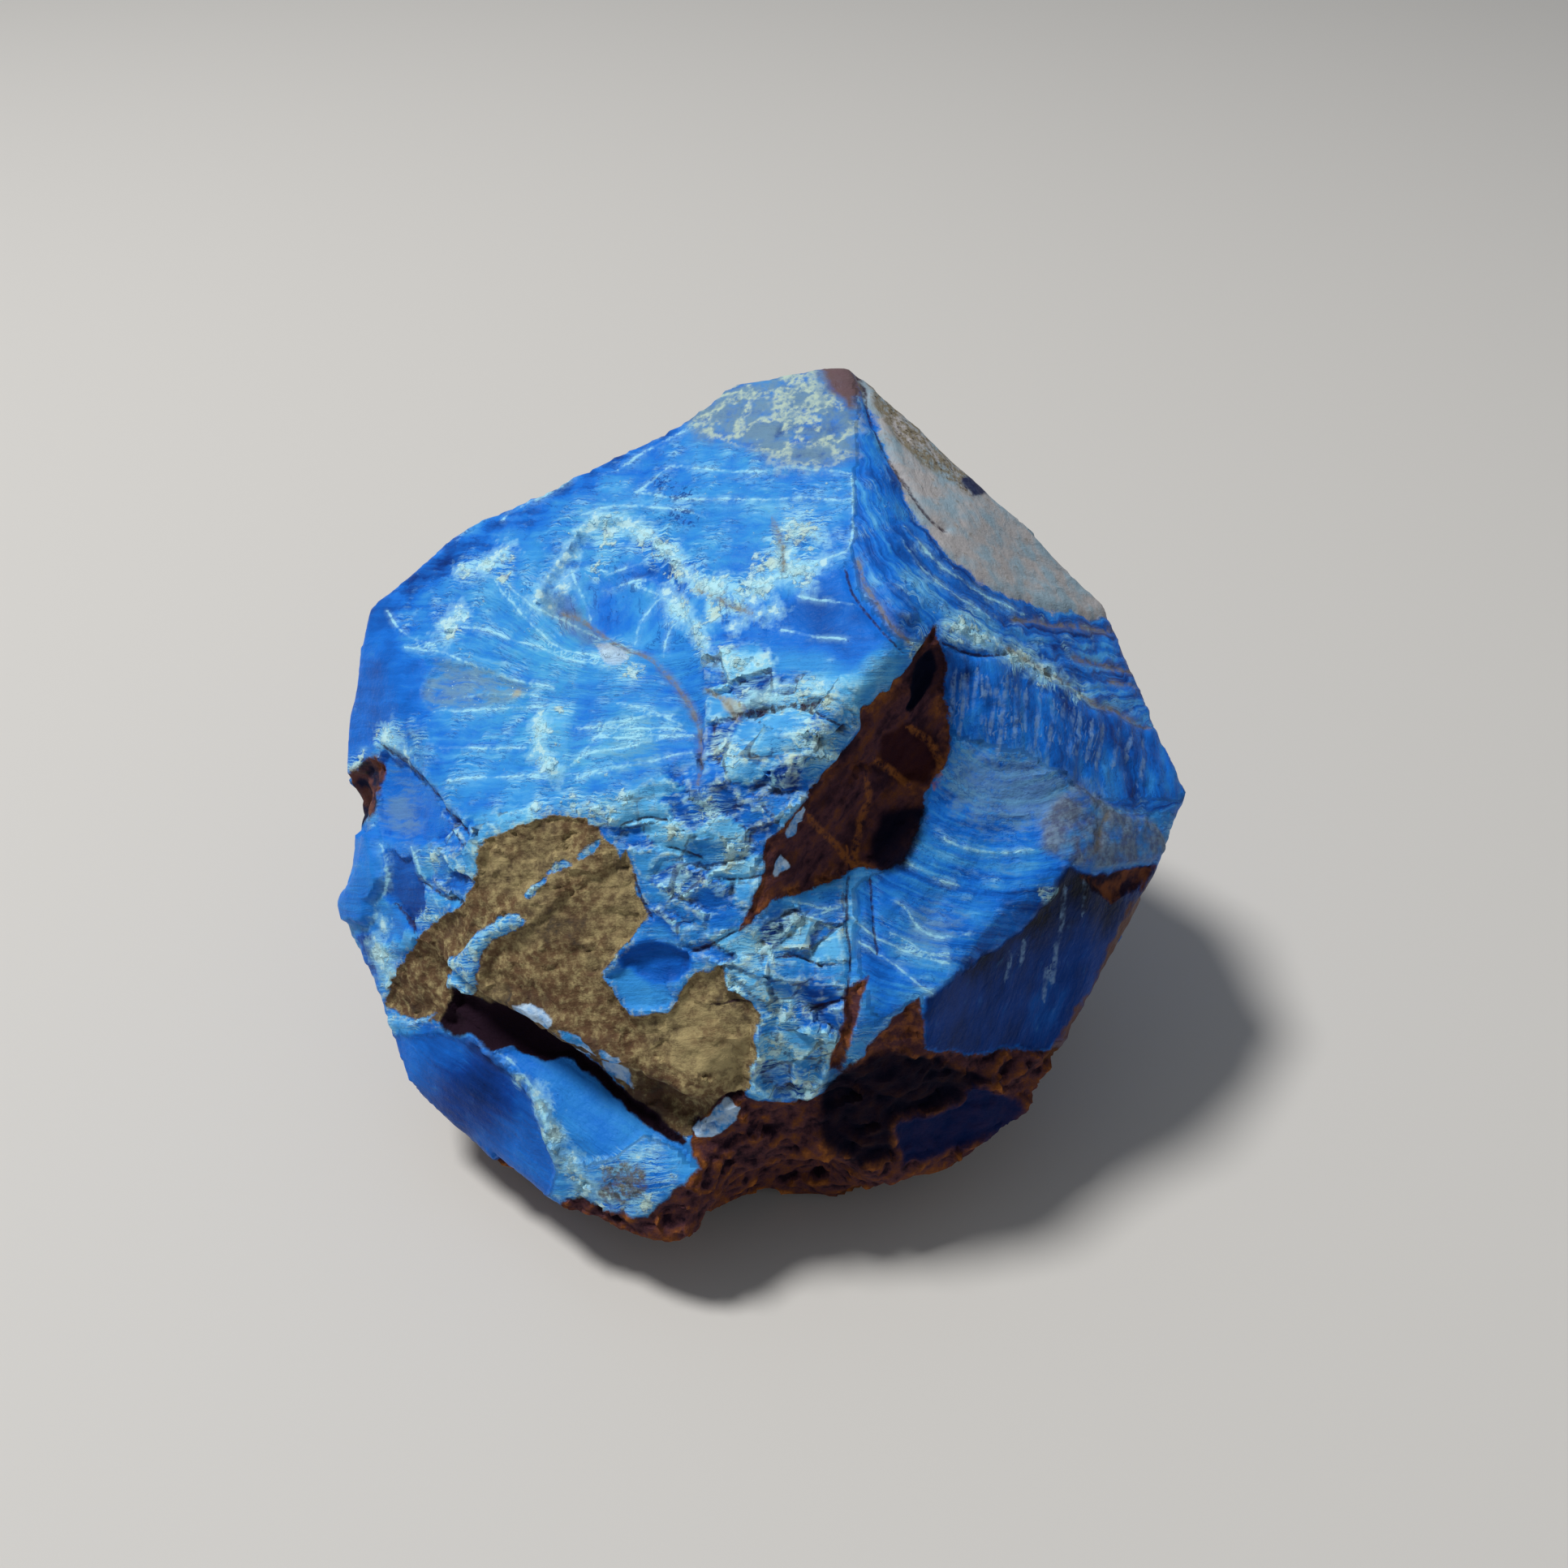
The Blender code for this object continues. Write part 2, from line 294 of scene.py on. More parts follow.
    # Painted shade on the shallow shell's left wall, which faces away from the light.
    "scar_wall_shade": (
        (664, 735), (690, 722), (712, 745), (735, 775), (760, 800), (740, 802), (700, 777), (668, 754),
    ),
    "speckled_high": ((798, 590), (820, 585), (845, 598), (862, 612), (850, 618), (815, 610)),
    "speckled_low": ((822, 628), (845, 625), (868, 636), (858, 650), (830, 646)),
    "white_lump": ((736, 792), (748, 784), (762, 790), (768, 804), (758, 818), (744, 820), (735, 808)),
    "pale_shell": (
        (682, 868), (700, 872), (706, 900), (700, 930), (694, 958), (684, 962), (668, 940), (660, 915),
        (667, 890),
    ),
    "crust": (
        (694, 1482), (720, 1478), (760, 1492), (800, 1500), (832, 1470), (866, 1440), (850, 1410),
        (850, 1384), (880, 1362), (915, 1345), (945, 1352), (980, 1352), (1010, 1345), (1040, 1318),
        (1070, 1292), (1104, 1262), (1137, 1228), (1138, 1258), (1144, 1294), (1195, 1299), (1249, 1293),
        (1310, 1292), (1340, 1330), (1262, 1420), (1200, 1460), (1060, 1500), (930, 1480), (900, 1560),
        (760, 1560), (680, 1510),
    ),
    # The low right foot: its deep blue and black are painted shade where it turns under.
    "foot_blue": (
        (1106, 1388), (1169, 1367), (1195, 1338), (1258, 1354), (1256, 1390), (1203, 1412), (1110, 1438),
    ),
    "foot_dark": (
        (1010, 1330), (1060, 1305), (1140, 1300), (1230, 1330), (1190, 1345), (1165, 1368), (1105, 1388),
        (1100, 1430), (1060, 1440), (1010, 1400),
    ),
    "right_face": (
        (1052, 440), (1058, 520), (1052, 560), (1056, 637), (1045, 682), (1063, 737), (1100, 782),
        (1150, 790), (1166, 905), (1250, 922), (1350, 990), (1480, 1010), (1520, 900), (1400, 700),
        (1200, 470),
    ),
}
# Pale veins.
PALE_LINES = (
    ((745, 705), (764, 697), (797, 691)),
    ((742, 722), (770, 714), (800, 712)),
    ((780, 718), (813, 729), (830, 751)),
    ((775, 779), (786, 757), (808, 735)),
    ((813, 800), (816, 779), (830, 765)),
    ((508, 1046), (516, 1066), (524, 1086), (536, 1108), (543, 1119)),
    ((470, 1042), (477, 1070), (477, 1098), (466, 1113), (462, 1132)),
    ((474, 1192), (482, 1202), (478, 1214)),
    ((458, 1206), (464, 1226), (466, 1242)),
    ((610, 1295), (630, 1308), (650, 1330), (668, 1358), (678, 1388)),
    (
        (572, 771), (592, 774), (613, 781), (634, 790), (661, 794), (676, 802), (689, 810), (714, 817),
        (744, 821),
    ),
    ((613, 719), (625, 738), (641, 754), (657, 773), (675, 788), (693, 799), (713, 805), (741, 812)),
    ((627, 719), (640, 736), (658, 750), (677, 757), (696, 761), (717, 771), (737, 781)),
    ((503, 797), (530, 802), (558, 809), (580, 818), (599, 826), (620, 834), (641, 840), (682, 848)),
    ((478, 754), (486, 768), (497, 779), (515, 789), (534, 795)),
    ((764, 578), (800, 556), (832, 536), (862, 519)),
    ((786, 607), (806, 589), (827, 571)),
    ((785, 607), (825, 612), (868, 618), (915, 617), (1000, 613), (1045, 618)),
    ((720, 633), (747, 626), (775, 623), (805, 624), (834, 627), (868, 637)),
    ((830, 573), (865, 576), (900, 582), (950, 580), (1000, 574), (1046, 582)),
    ((623, 641), (650, 621), (688, 602), (705, 590)),
    ((702, 702), (710, 720), (718, 738), (724, 754)),
    ((537, 878), (580, 876), (634, 873), (682, 869)),
    ((544, 922), (600, 921), (648, 922)),
    ((556, 962), (610, 958), (668, 954), (700, 953)),
    ((712, 898), (760, 896), (800, 897), (840, 894)),
    ((716, 930), (770, 922), (815, 910), (850, 900)),
    ((712, 958), (760, 948), (810, 936), (850, 926)),
    ((660, 960), (700, 945), (730, 915), (752, 890)),
    ((963, 776), (1000, 782), (1040, 788)),
    ((985, 736), (1020, 740), (1050, 744)),
    ((1044, 681), (1010, 690), (975, 702), (940, 722), (905, 742)),
    ((1050, 590), (1054, 640), (1044, 681)),
    ((1118, 652), (1150, 690), (1190, 722), (1226, 742), (1262, 757)),
    ((1112, 668), (1142, 706), (1180, 738), (1216, 760)),
    ((1047, 1115), (1010, 1125), (980, 1140), (955, 1160)),
    ((1000, 1170), (1020, 1158), (1046, 1150)),
    (
        (935, 1262), (930, 1300), (922, 1325), (945, 1350), (975, 1352), (1010, 1330), (1030, 1300),
        (1028, 1272),
    ),
    ((1100, 1107), (1114, 1116), (1127, 1132), (1145, 1150), (1168, 1157), (1200, 1152)),
    ((1100, 1150), (1118, 1157), (1132, 1170), (1150, 1177), (1168, 1175)),
    ((1060, 1160), (1087, 1180), (1113, 1196), (1130, 1212), (1146, 1222)),
    ((1164, 1032), (1191, 1045), (1236, 1050), (1273, 1045)),
    ((1090, 1050), (1127, 1068), (1155, 1086), (1182, 1091)),
    ((761, 865), (800, 874), (836, 887)),
    ((732, 909), (790, 908), (850, 902)),
    ((739, 894), (790, 882), (836, 876)),
    ((710, 954), (750, 948), (791, 939)),
    ((560, 860), (600, 852), (660, 858)),
    ((953, 1107), (993, 1113), (1020, 1120)),
    ((1053, 1133), (1087, 1160), (1120, 1173), (1167, 1187)),
    ((947, 1133), (987, 1133), (1033, 1143)),
)
# Edges and seams that are lined with pale crumbs.
CRUMB_LINES = (
    ((658, 745), (675, 715), (693, 690), (707, 663), (720, 645), (742, 637)),
    ((764, 641), (790, 650), (813, 668), (833, 690), (853, 712), (873, 722), (893, 725)),
    ((820, 724), (835, 745), (850, 768), (863, 787)),
    ((962, 690), (975, 665), (984, 640), (1000, 652), (1015, 664)),
    ((925, 745), (935, 722), (960, 708), (990, 703), (1015, 692)),
    ((566, 708), (590, 702), (610, 690), (625, 676)),
    ((545, 790), (552, 765), (565, 748)),
    ((868, 800), (880, 822), (905, 815), (930, 822), (945, 810)),
    ((668, 880), (662, 905), (670, 935), (684, 955)),
    ((474, 906), (500, 932)),
    ((470, 1140), (462, 1165), (470, 1190), (486, 1200)),
    ((672, 748), (690, 722), (700, 700)),
    ((905, 770), (930, 760), (960, 752)),
    ((925, 868), (955, 850), (990, 842), (1020, 852)),
    ((1170, 772), (1205, 784), (1240, 800), (1275, 820), (1310, 842)),
    ((700, 1426), (716, 1452), (738, 1470), (762, 1478)),
    ((760, 1440), (785, 1428), (812, 1412)),
    ((664, 1345), (676, 1372), (686, 1400), (690, 1424)),
)
# Dark cracks and crevices.
CRACKS = (
    ((474, 918), (504, 938), (528, 966), (544, 990), (560, 1010), (576, 1028)),
    ((488, 1116), (506, 1138), (510, 1150)),
    ((536, 1098), (552, 1108), (566, 1114)),
    (
        (1055, 450), (1060, 466), (1067, 482), (1071, 511), (1085, 545), (1100, 574), (1122, 608),
        (1145, 640), (1163, 652),
    ),
    ((1049, 1068), (1043, 1102), (1043, 1136), (1049, 1169), (1047, 1203), (1043, 1240)),
    ((1073, 1085), (1077, 1136), (1081, 1174)),
    ((1166, 795), (1189, 804), (1215, 808), (1240, 806)),
    ((898, 886), (925, 872), (960, 866), (1000, 875), (1037, 893)),
    ((915, 879), (940, 874), (972, 867), (1003, 868)),
    ((476, 918), (505, 947), (535, 977), (562, 1014)),
    ((766, 1015), (795, 1006), (820, 1010)),
    ((825, 1044), (845, 1050), (863, 1057)),
    ((884, 1082), (918, 1086), (935, 1080)),
    ((779, 1080), (790, 1110), (800, 1130)),
    ((878, 1240), (900, 1236), (925, 1236)),
    ((488, 1120), (500, 1135), (510, 1147)),
    ((520, 1088), (545, 1104), (566, 1112)),
    ((1040, 700), (1050, 735), (1085, 775), (1112, 800)),
    ((850, 1170), (880, 1160), (905, 1148)),
    ((960, 1180), (985, 1175), (1010, 1190)),
    ((1000, 1245), (1020, 1238), (1040, 1232)),
)
# Thin tan bands.
TAN_LINES = (
    ((1252, 762), (1290, 768), (1330, 773), (1372, 778)),
    ((1325, 811), (1360, 818), (1397, 827)),
    ((1244, 800), (1275, 820), (1303, 834), (1329, 852), (1352, 868), (1380, 880), (1412, 897)),
    ((1370, 838), (1400, 846)),
    (
        (690, 750), (722, 758), (748, 783), (770, 792), (800, 805), (822, 830), (842, 855), (856, 885),
        (862, 915), (860, 962),
    ),
    ((864, 727), (890, 740), (922, 757)),
    ((952, 640), (962, 665), (968, 700)),
    ((1057, 695), (1068, 730), (1095, 765), (1120, 790)),
    ((1080, 500), (1110, 548), (1150, 580)),
    ((870, 850), (890, 862), (905, 884)),
    ((1362, 1004), (1354, 1022), (1349, 1046)),
)
# Short pale strokes that hang side by side: where each one starts, and how far down it runs.
STROKES = (
    (1177, 826, 60), (1189, 834, 72), (1203, 828, 40), (1216, 838, 50), (1229, 836, 66), (1241, 838, 88),
    (1255, 848, 56), (1268, 852, 44), (1283, 858, 60), (1298, 866, 70), (1310, 872, 42), (1322, 876, 58),
    (1331, 882, 50), (1345, 890, 44), (1359, 893, 56), (1376, 902, 40), (1392, 908, 48), (1410, 915, 50),
    (1312, 1096, 62), (1303, 1152, 56), (1290, 1195, 36), (1338, 1084, 40), (1244, 1176, 30),
    (1262, 1160, 24),
)
STROKE_LINES = tuple(((u, v), (u - 0.12 * run, v + run)) for u, v, run in STROKES)
# Rusty lines in the pit.
RUST_LINES = (
    ((1068, 963), (1073, 988), (1062, 1022), (1056, 1060)),
    ((1000, 1010), (1030, 1040), (1052, 1066)),
    ((1128, 900), (1150, 915), (1160, 945), (1152, 965)),
    ((1085, 940), (1105, 952), (1118, 965)),
)
LINE_FAMILIES = {
    "pale": PALE_LINES,
    "crumb": CRUMB_LINES,
    "stroke": STROKE_LINES,
    "crack": CRACKS,
    "tan": TAN_LINES,
    "rust": RUST_LINES,
}
# Pale crumbs: where a cluster lies, and how far it spreads.
CRUMBS = (
    (750, 652, 17), (736, 700, 9), (795, 658, 15), (818, 676, 16), (836, 702, 14), (831, 748, 13),
    (866, 716, 13), (884, 722, 15), (882, 750, 11), (936, 716, 17), (860, 775, 9), (868, 790, 9),
    (898, 804, 9), (905, 817, 13), (557, 771, 12), (570, 756, 9), (575, 706, 9), (602, 698, 10),
    (622, 692, 8), (625, 712, 7), (752, 799, 17), (775, 824, 12), (692, 876, 8), (668, 905, 12),
    (672, 945, 12), (985, 655, 24), (950, 690, 18), (985, 700, 20), (925, 722, 16), (905, 745, 10),
    (478, 903, 12), (440, 940, 10), (705, 985, 12), (660, 992, 10), (740, 1000, 14), (765, 985, 12),
    (915, 850, 12), (1005, 915, 22), (900, 930, 18), (870, 1000, 16), (830, 1020, 14), (905, 1050, 18),
    (835, 1090, 14), (940, 1170, 20), (905, 1215, 16), (980, 1140, 14), (960, 1250, 20), (950, 1300, 16),
    (990, 1340, 14), (1020, 1290, 14), (1185, 778, 15), (1204, 786, 10), (1255, 812, 14), (1290, 830, 12),
    (1330, 850, 10), (1130, 800, 10), (700, 1440, 12), (716, 1470, 12), (740, 1492, 12), (800, 1480, 12),
    (640, 1330, 6), (668, 1362, 7), (682, 1395, 8), (560, 1226, 12), (478, 1210, 10), (470, 1175, 12),
    (525, 1130, 10), (535, 1060, 10), (1292, 1098, 7),
)
# Painted highlights and shade, among other lighter and darker places: lighter across the middle of the
# bright face, darker on the knee and towards the face's left and upper edges. Where they lie, how far they
# spread, and what they add to the tone.
LIGHT_AND_SHADE_SPOTS = (
    (970, 560, 60, -0.12), (950, 860, 45, -0.08), (1040, 872, 26, 0.2), (1078, 826, 22, 0.18),
    (1000, 930, 24, 0.12), (1082, 560, 30, 0.14), (1104, 625, 26, 0.1), (560, 890, 50, -0.08),
    (1275, 1122, 42, -0.16), (1205, 1178, 38, -0.14), (1325, 1088, 30, -0.12), (1215, 1262, 70, 0.08),
    (1335, 1180, 50, 0.06), (700, 800, 55, 0.12), (735, 690, 45, 0.1), (660, 720, 70, 0.08),
    (745, 815, 40, 0.14), (800, 640, 40, 0.08), (520, 760, 50, -0.05), (470, 900, 40, -0.04),
    (1185, 905, 14, 0.05), (600, 840, 75, 0.04), (640, 930, 85, 0.08), (785, 905, 65, 0.1),
    (735, 620, 45, 0.1), (825, 730, 38, -0.12), (990, 625, 60, 0.05), (1000, 760, 55, -0.08),
    (475, 830, 45, -0.06), (560, 690, 45, -0.05), (700, 560, 45, -0.1), (820, 510, 45, -0.08),
    (880, 640, 60, 0.08), (960, 690, 40, 0.08), (590, 1345, 62, -0.2), (500, 1315, 30, 0.06),
    (655, 1445, 40, 0.08), (1300, 1250, 60, 0.1), (1360, 1110, 40, -0.08), (1240, 960, 60, 0.04),
    (1120, 1150, 60, 0.08), (1200, 1090, 60, -0.02), (1350, 900, 60, -0.04), (700, 1360, 45, 0.06),
    (790, 1400, 40, 0.04), (500, 1000, 30, -0.06), (440, 1080, 26, 0.04), (930, 1080, 40, 0.06),
    (1000, 1220, 45, -0.08), (990, 1100, 40, 0.06),
)
# Greyer places: where they lie, how far they spread, and their share of grey.
HAZE_SPOTS = (
    (1200, 1000, 90, 0.35), (1285, 985, 50, 0.4), (1150, 1140, 60, 0.35), (1100, 1190, 50, 0.25),
    (1240, 1100, 60, 0.2), (490, 960, 35, 0.35), (500, 1085, 30, 0.12), (475, 1000, 30, 0.4),
    (500, 1020, 30, 0.4), (452, 1205, 30, 0.4), (1245, 955, 75, 0.42), (1180, 940, 45, 0.25),
    (620, 850, 55, 0.35), (790, 925, 75, 0.4), (680, 920, 30, 0.35), (950, 540, 70, 0.15),
    (1100, 600, 45, 0.25), (1340, 985, 50, 0.4), (500, 990, 30, 0.2), (440, 1060, 30, 0.25),
    (960, 930, 45, 0.3), (1150, 1140, 45, 0.25), (1000, 850, 45, 0.25), (560, 990, 50, 0.15),
    (1100, 740, 40, 0.25), (1400, 860, 45, 0.2),
)
# Places where the blue turns to teal: where they lie, how far they spread, and their share of teal.
TEAL_SPOTS = (
    (700, 790, 80, 0.4), (630, 880, 80, 0.35), (780, 920, 60, 0.45), (730, 660, 60, 0.35),
    (860, 700, 60, 0.25), (940, 540, 70, 0.25), (600, 760, 60, 0.25), (700, 940, 50, 0.35),
    (940, 640, 60, 0.2),
)
# Lighter and darker places of the rind.
RIND_SPOTS = (
    (650, 1236, 34, -0.26), (725, 1285, 30, -0.24), (800, 1350, 34, -0.24), (760, 1130, 60, 0.06),
    (645, 1045, 70, 0.22), (690, 1180, 60, 0.16), (560, 1200, 60, 0.1), (820, 1350, 50, -0.1),
    (900, 1245, 30, -0.12), (865, 1290, 70, 0.34), (695, 1150, 45, -0.26), (650, 1035, 45, -0.18),
    (525, 1205, 55, -0.1), (740, 1075, 40, 0.1), (750, 1255, 45, 0.05), (625, 1200, 40, 0.02),
)
# Redder places of the rind.
RIND_STAINS = (
    (560, 1180, 60, 1.0), (520, 1220, 50, 1.0), (600, 1130, 40, 0.6), (700, 1225, 50, 1.0),
    (760, 1270, 40, 0.7), (820, 1350, 40, 1.0), (880, 1340, 30, 0.8), (655, 1200, 40, 0.7),
)

# Parts whose faces are smooth.
CALM = (
    "left_facet", "right_facet", "knee", "plate", "left_strip", "clear_right", "strip_low", "facet_low",
    "cheek", "notch_face", "rind_chip",
)
# Blue stripes and chips that break the rind.
RIND_BREAKS = (
    "stripe_low", "stripe_middle", "stripe_high", "stripe_top", "rind_chip", "left_shell",
)
# Parts of the finish, and the outlines that make up each of them.
GROUPS = {
    "rind": ("rind_main", "rind_arm", "rind_between", "lip_rind"),
    "sliver": ("sliver_high", "sliver_low", "loop_flake", "lip_sliver_1", "lip_sliver_2", "lip_sliver_3"),
    "olive": ("toe_olive",),
    "wedge": ("wedge", "talus"),
    "amber": ("amber_strip",),
    "navy": ("navy_spot",),
    "grey": ("grey_sparkle",),
    "slate": ("grey_patch",),
    "yellow": ("yellow_speck", "cream_facet"),
    "mauve": ("scar_wall_shade",),
    "lump": ("white_lump",),
    "speckled": ("speckled_high", "speckled_low"),
    "notch": ("notch_brown", "knee_olive"),
    "mottled": ("mottled_top",),
}
OWN_GROUPS = (
    "pit", "pit_eye", "pit_spot", "pit_shade", "crust", "foot_blue", "foot_dark", "plate", "plate_rim",
    "summit", "groove",
)
GROUPS.update({name: (name,) for name in OWN_GROUPS})
# How blue and how pale each part of the face is: the softness of its edge in steps, its tone from 0,
# deep, to 1, light, its share of pale crumbs, and how plain its bands are.
PAINT = {
    "right_face": (5, 0.42, 0.26, 0.85),
    "left_strip": (8, 0.42, 0.06, 0.0),
    # Painted shade along the upper silhouette.
    "upper_edge_shade": (30, 0.33, 0.10, 0.0),
    "scar": (6, 0.52, 0.06, 0.1),
    "clear_right": (12, 0.40, 0.0, 0.0),
    "clear_middle": (14, 0.43, 0.05, 0.0),
    "mottled_top": (14, 0.43, 0.12, 0.0),
    "pale_shell": (4, 0.72, 0.45, 0.0),
    "hackled": (5, 0.40, 0.10, 0.0),
    "bowl": (6, 0.50, 0.22, 0.65),
    "flaky": (14, 0.64, 0.10, 0.0),
    "ledge": (14, 0.63, 0.14, 0.0),
    "notch_scar": (4, 0.44, 0.18, 0.0),
    "notch_face": (3, 0.46, 0.10, 0.0),
    "cheek": (3, 0.47, 0.0, 0.0),
    "chip_shade": (3, 0.33, 0.0, 0.0),
    "chip_light": (2, 0.66, 0.10, 0.0),
    "facet_light": (2, 0.74, 0.30, 0.0),
    "left_sliver": (3, 0.36, 0.10, 0.0),
    "left_facet": (5, 0.36, 0.0, 0.0),
    "right_facet": (5, 0.50, 0.0, 0.0),
    "toe_crumb": (6, 0.50, 0.50, 0.0),
    # Painted shade: the knee faces away from the key light and is painted nearly black-blue.
    "knee": (4, 0.15, 0.0, 0.0),
    "strip_low": (2, 0.30, 0.0, 0.0),
    "facet_low": (2, 0.50, 0.0, 0.0),
    "low_flake": (4, 0.52, 0.45, 0.0),
    "left_shell": (2, 0.62, 0.55, 0.0),
    "stripe_low": (2, 0.62, 0.80, 0.0),
    "stripe_middle": (2, 0.60, 0.80, 0.0),
    "stripe_high": (2, 0.55, 0.70, 0.0),
    "lens_flake": (4, 0.66, 0.75, 0.0),
    "foot_blue": (8, 0.14, 0.0, 0.0),
}
# Steps in the surface: how far each part is sunk, in millimetres, and the width of its wall in steps.
TERRACES = {
    "rind_main": (0.9, 6),
    "rind_arm": (0.7, 6),
    "rind_chip": (0.9, 5),
    "lip_rind": (0.4, 5),
    "stripe_low": (-0.8, 5),
    "stripe_middle": (-0.6, 4),
    "strip_low": (0.9, 5),
    "facet_low": (0.3, 4),
    "facet_light": (-0.5, 4),
    "chip_shade": (0.6, 8),
    "white_lump": (-0.8, 8),
    "pale_shell": (-0.4, 5),
    "notch_scar": (1.4, 5),
    "notch_brown": (2.6, 12),
    "cheek": (-1.7, 9),
    "plate": (-0.5, 5),
    "grey_sparkle": (0.5, 5),
    "grey_patch": (-0.6, 6),
    "wedge": (0.9, 6),
    "talus": (1.2, 6),
    "clear_right": (0.25, 9),
    "amber_strip": (0.5, 6),
    "wavy_lens": (-0.6, 5),
    "right_facet": (0.8, 6),
    "left_facet": (0.5, 6),
    "foot_blue": (0.8, 8),
    "foot_dark": (1.2, 12),
    "groove": (2.2, 8),
    "knee_olive": (0.9, 6),
    "pit_eye": (1.2, 8),
    "loop_flake": (-0.9, 6),
    "left_shell": (-0.6, 6),
    "pit": (0.5, 5),
}
# Raised rims, in millimetres, and their half width in steps.
RIMS = {
    "between_facets": (
        ((585, 1290), (615, 1305), (645, 1328), (664, 1355), (676, 1385), (690, 1425)),
        1.1,
        7,
    ),
    "knee_edge": (
        ((1312, 1068), (1296, 1102), (1258, 1144), (1216, 1169), (1178, 1199), (1144, 1228)),
        0.6,
        7,
    ),
    "lip": (
        ((556, 1214), (592, 1226), (640, 1238), (684, 1260), (737, 1292), (786, 1338), (846, 1384)),
        0.9,
        8,
    ),
    "notch_edge": (((478, 912), (508, 940), (540, 972), (568, 1014)), 0.8, 7),
    "low_flake": (
        ((940, 1268), (935, 1300), (925, 1328), (948, 1350), (978, 1351), (1010, 1328), (1028, 1296)),
        1.1,
        7,
    ),
    "crust_loop": (((855, 1394), (872, 1372), (905, 1363), (914, 1378)), 1.0, 6),
    "lens_flake": (((905, 876), (930, 856), (965, 844), (1000, 850), (1035, 872)), 0.9, 8),
    "scar_left": (((664, 746), (684, 700), (708, 665), (726, 645), (760, 640)), 0.5, 6),
    "scar_right": (((792, 662), (824, 684), (838, 722), (850, 755), (866, 788), (872, 832)), 0.6, 7),
    "pale_step": (((682, 871), (668, 891), (661, 915), (671, 936), (685, 960)), 0.5, 8),
}
# Shells struck off the sides and back: where the blow fell, the middle of the shell, both in
# millimetres, and how far the shell reaches.
SHELLS = {
    "back_left": ((-30, 55, 106), (-33, 66, 75), 36),
    "back_right": ((36, 45, 112), (38, 60, 83), 32),
    "back_heel": ((-25, 80, 74), (-25, 74, 37), 40),
    "back_foot_right": ((62, 58, 62), (44, 60, 33), 34),
    "right_side": ((76, 22, 82), (82, 14, 49), 34),
    "right_foot": ((80, -8, 50), (66, -14, 23), 28),
    "left_side": ((-86, 34, 84), (-80, 32, 53), 30),
    "left_foot": ((-86, 8, 46), (-72, -2, 21), 27),
}


# ---------------------------------------------------------------- lines, outlines and noise


def rounded(line):
    """The line with each of its corners cut off."""
    points = np.array(line, float)
    start, end = points[:-1], points[1:]
    cut = np.stack((start * 0.75 + end * 0.25, start * 0.25 + end * 0.75), axis=1).reshape(-1, 2)
    return np.vstack((points[:1], cut, points[-1:]))


def reach(places, line):
    """How far each place is from a line of points, in steps, and on which side of it."""
    nearest = np.full(len(places), 1e9)
    side = np.ones(len(places))
    for start, end in zip(line[:-1], line[1:]):
        along = end - start
        off = places - start
        share = np.clip(off @ along / (along @ along), 0, 1)
        far = np.hypot(off[:, 0] - share * along[0], off[:, 1] - share * along[1])
        closer = far < nearest
        nearest[closer] = far[closer]
        turn = along[0] * off[closer, 1] - along[1] * off[closer, 0]
        side[closer] = np.where(turn > 0, 1.0, -1.0)
    return nearest, side


def inside(places, outline):
    """How far inside a closed outline each place is, in steps: below zero outside it."""
    line = np.array((*outline, outline[0]), float)
    nearest, _ = reach(places, line)
    x, y = places.T
    within = np.zeros(len(places), bool)
    for (ax, ay), (bx, by) in zip(line[:-1], line[1:]):
        crosses = (ay > y) != (by > y)
        slant = (bx - ax) / (by - ay) if by != ay else 0.0
        within ^= crosses & (x < ax + (y - ay) * slant)
    return np.where(within, nearest, -nearest)


def beside(places, lines):
    """The nearest of several lines: how far it is, and that distance with its side as a sign."""
    near = np.full(len(places), 1e9)
    signed = np.full(len(places), 1e9)
    for line in lines:
        far, side = reach(places, rounded(line))
        closer = far < near
        near[closer] = far[closer]
        signed[closer] = (far * side)[closer]
    return near, signed


def rise(value, low, high):
    """From 0 at low to 1 at high, eased at both ends."""
    share = np.clip((value - low) / (high - low), 0, 1)
    return share * share * (3 - 2 * share)


def eased(inside_by, softness):
    """From 0 outside an edge to 1 inside it, over a band as wide as given on either side."""
    return rise(inside_by, -softness, softness)


def crest(near, half):
    """1 on a line, falling away on both sides of it."""
    return np.exp(-((near / half) ** 2))


def spots(places, table):
    """What the named round spots add up to at each place."""
    total = np.zeros(len(places))
    for u, v, extent, amount in table:
        off = np.hypot(places[:, 0] - u, places[:, 1] - v)
        total += amount * rise(off, extent * 1.4, 0)
    return total


def dice(corner, seed, count):
    """Even numbers from 0 to 1 for each corner of a grid, always the same ones."""
    turns = corner @ np.array((127.1, 311.7, 74.7)) + seed * 53.37
    return np.modf(np.abs(np.sin(turns[:, None] + np.arange(count) * 7.31)) * 43758.5453)[0]


def waves(points, size, seed):
    """Smooth noise between about -1 and 1, with waves of the given size."""
    places = points / size
    cell = np.floor(places)
    share = places - cell
    eased_share = share * share * (3 - 2 * share)
    total = np.zeros(len(points))
    for step in itertools.product((0, 1), repeat=3):
        slope = dice(cell + step, seed, 3) * 2 - 1
        weight = np.prod(np.where(step, eased_share, 1 - eased_share), axis=1)
        total += weight * ((share - step) * slope).sum(1)
    return total * 1.7


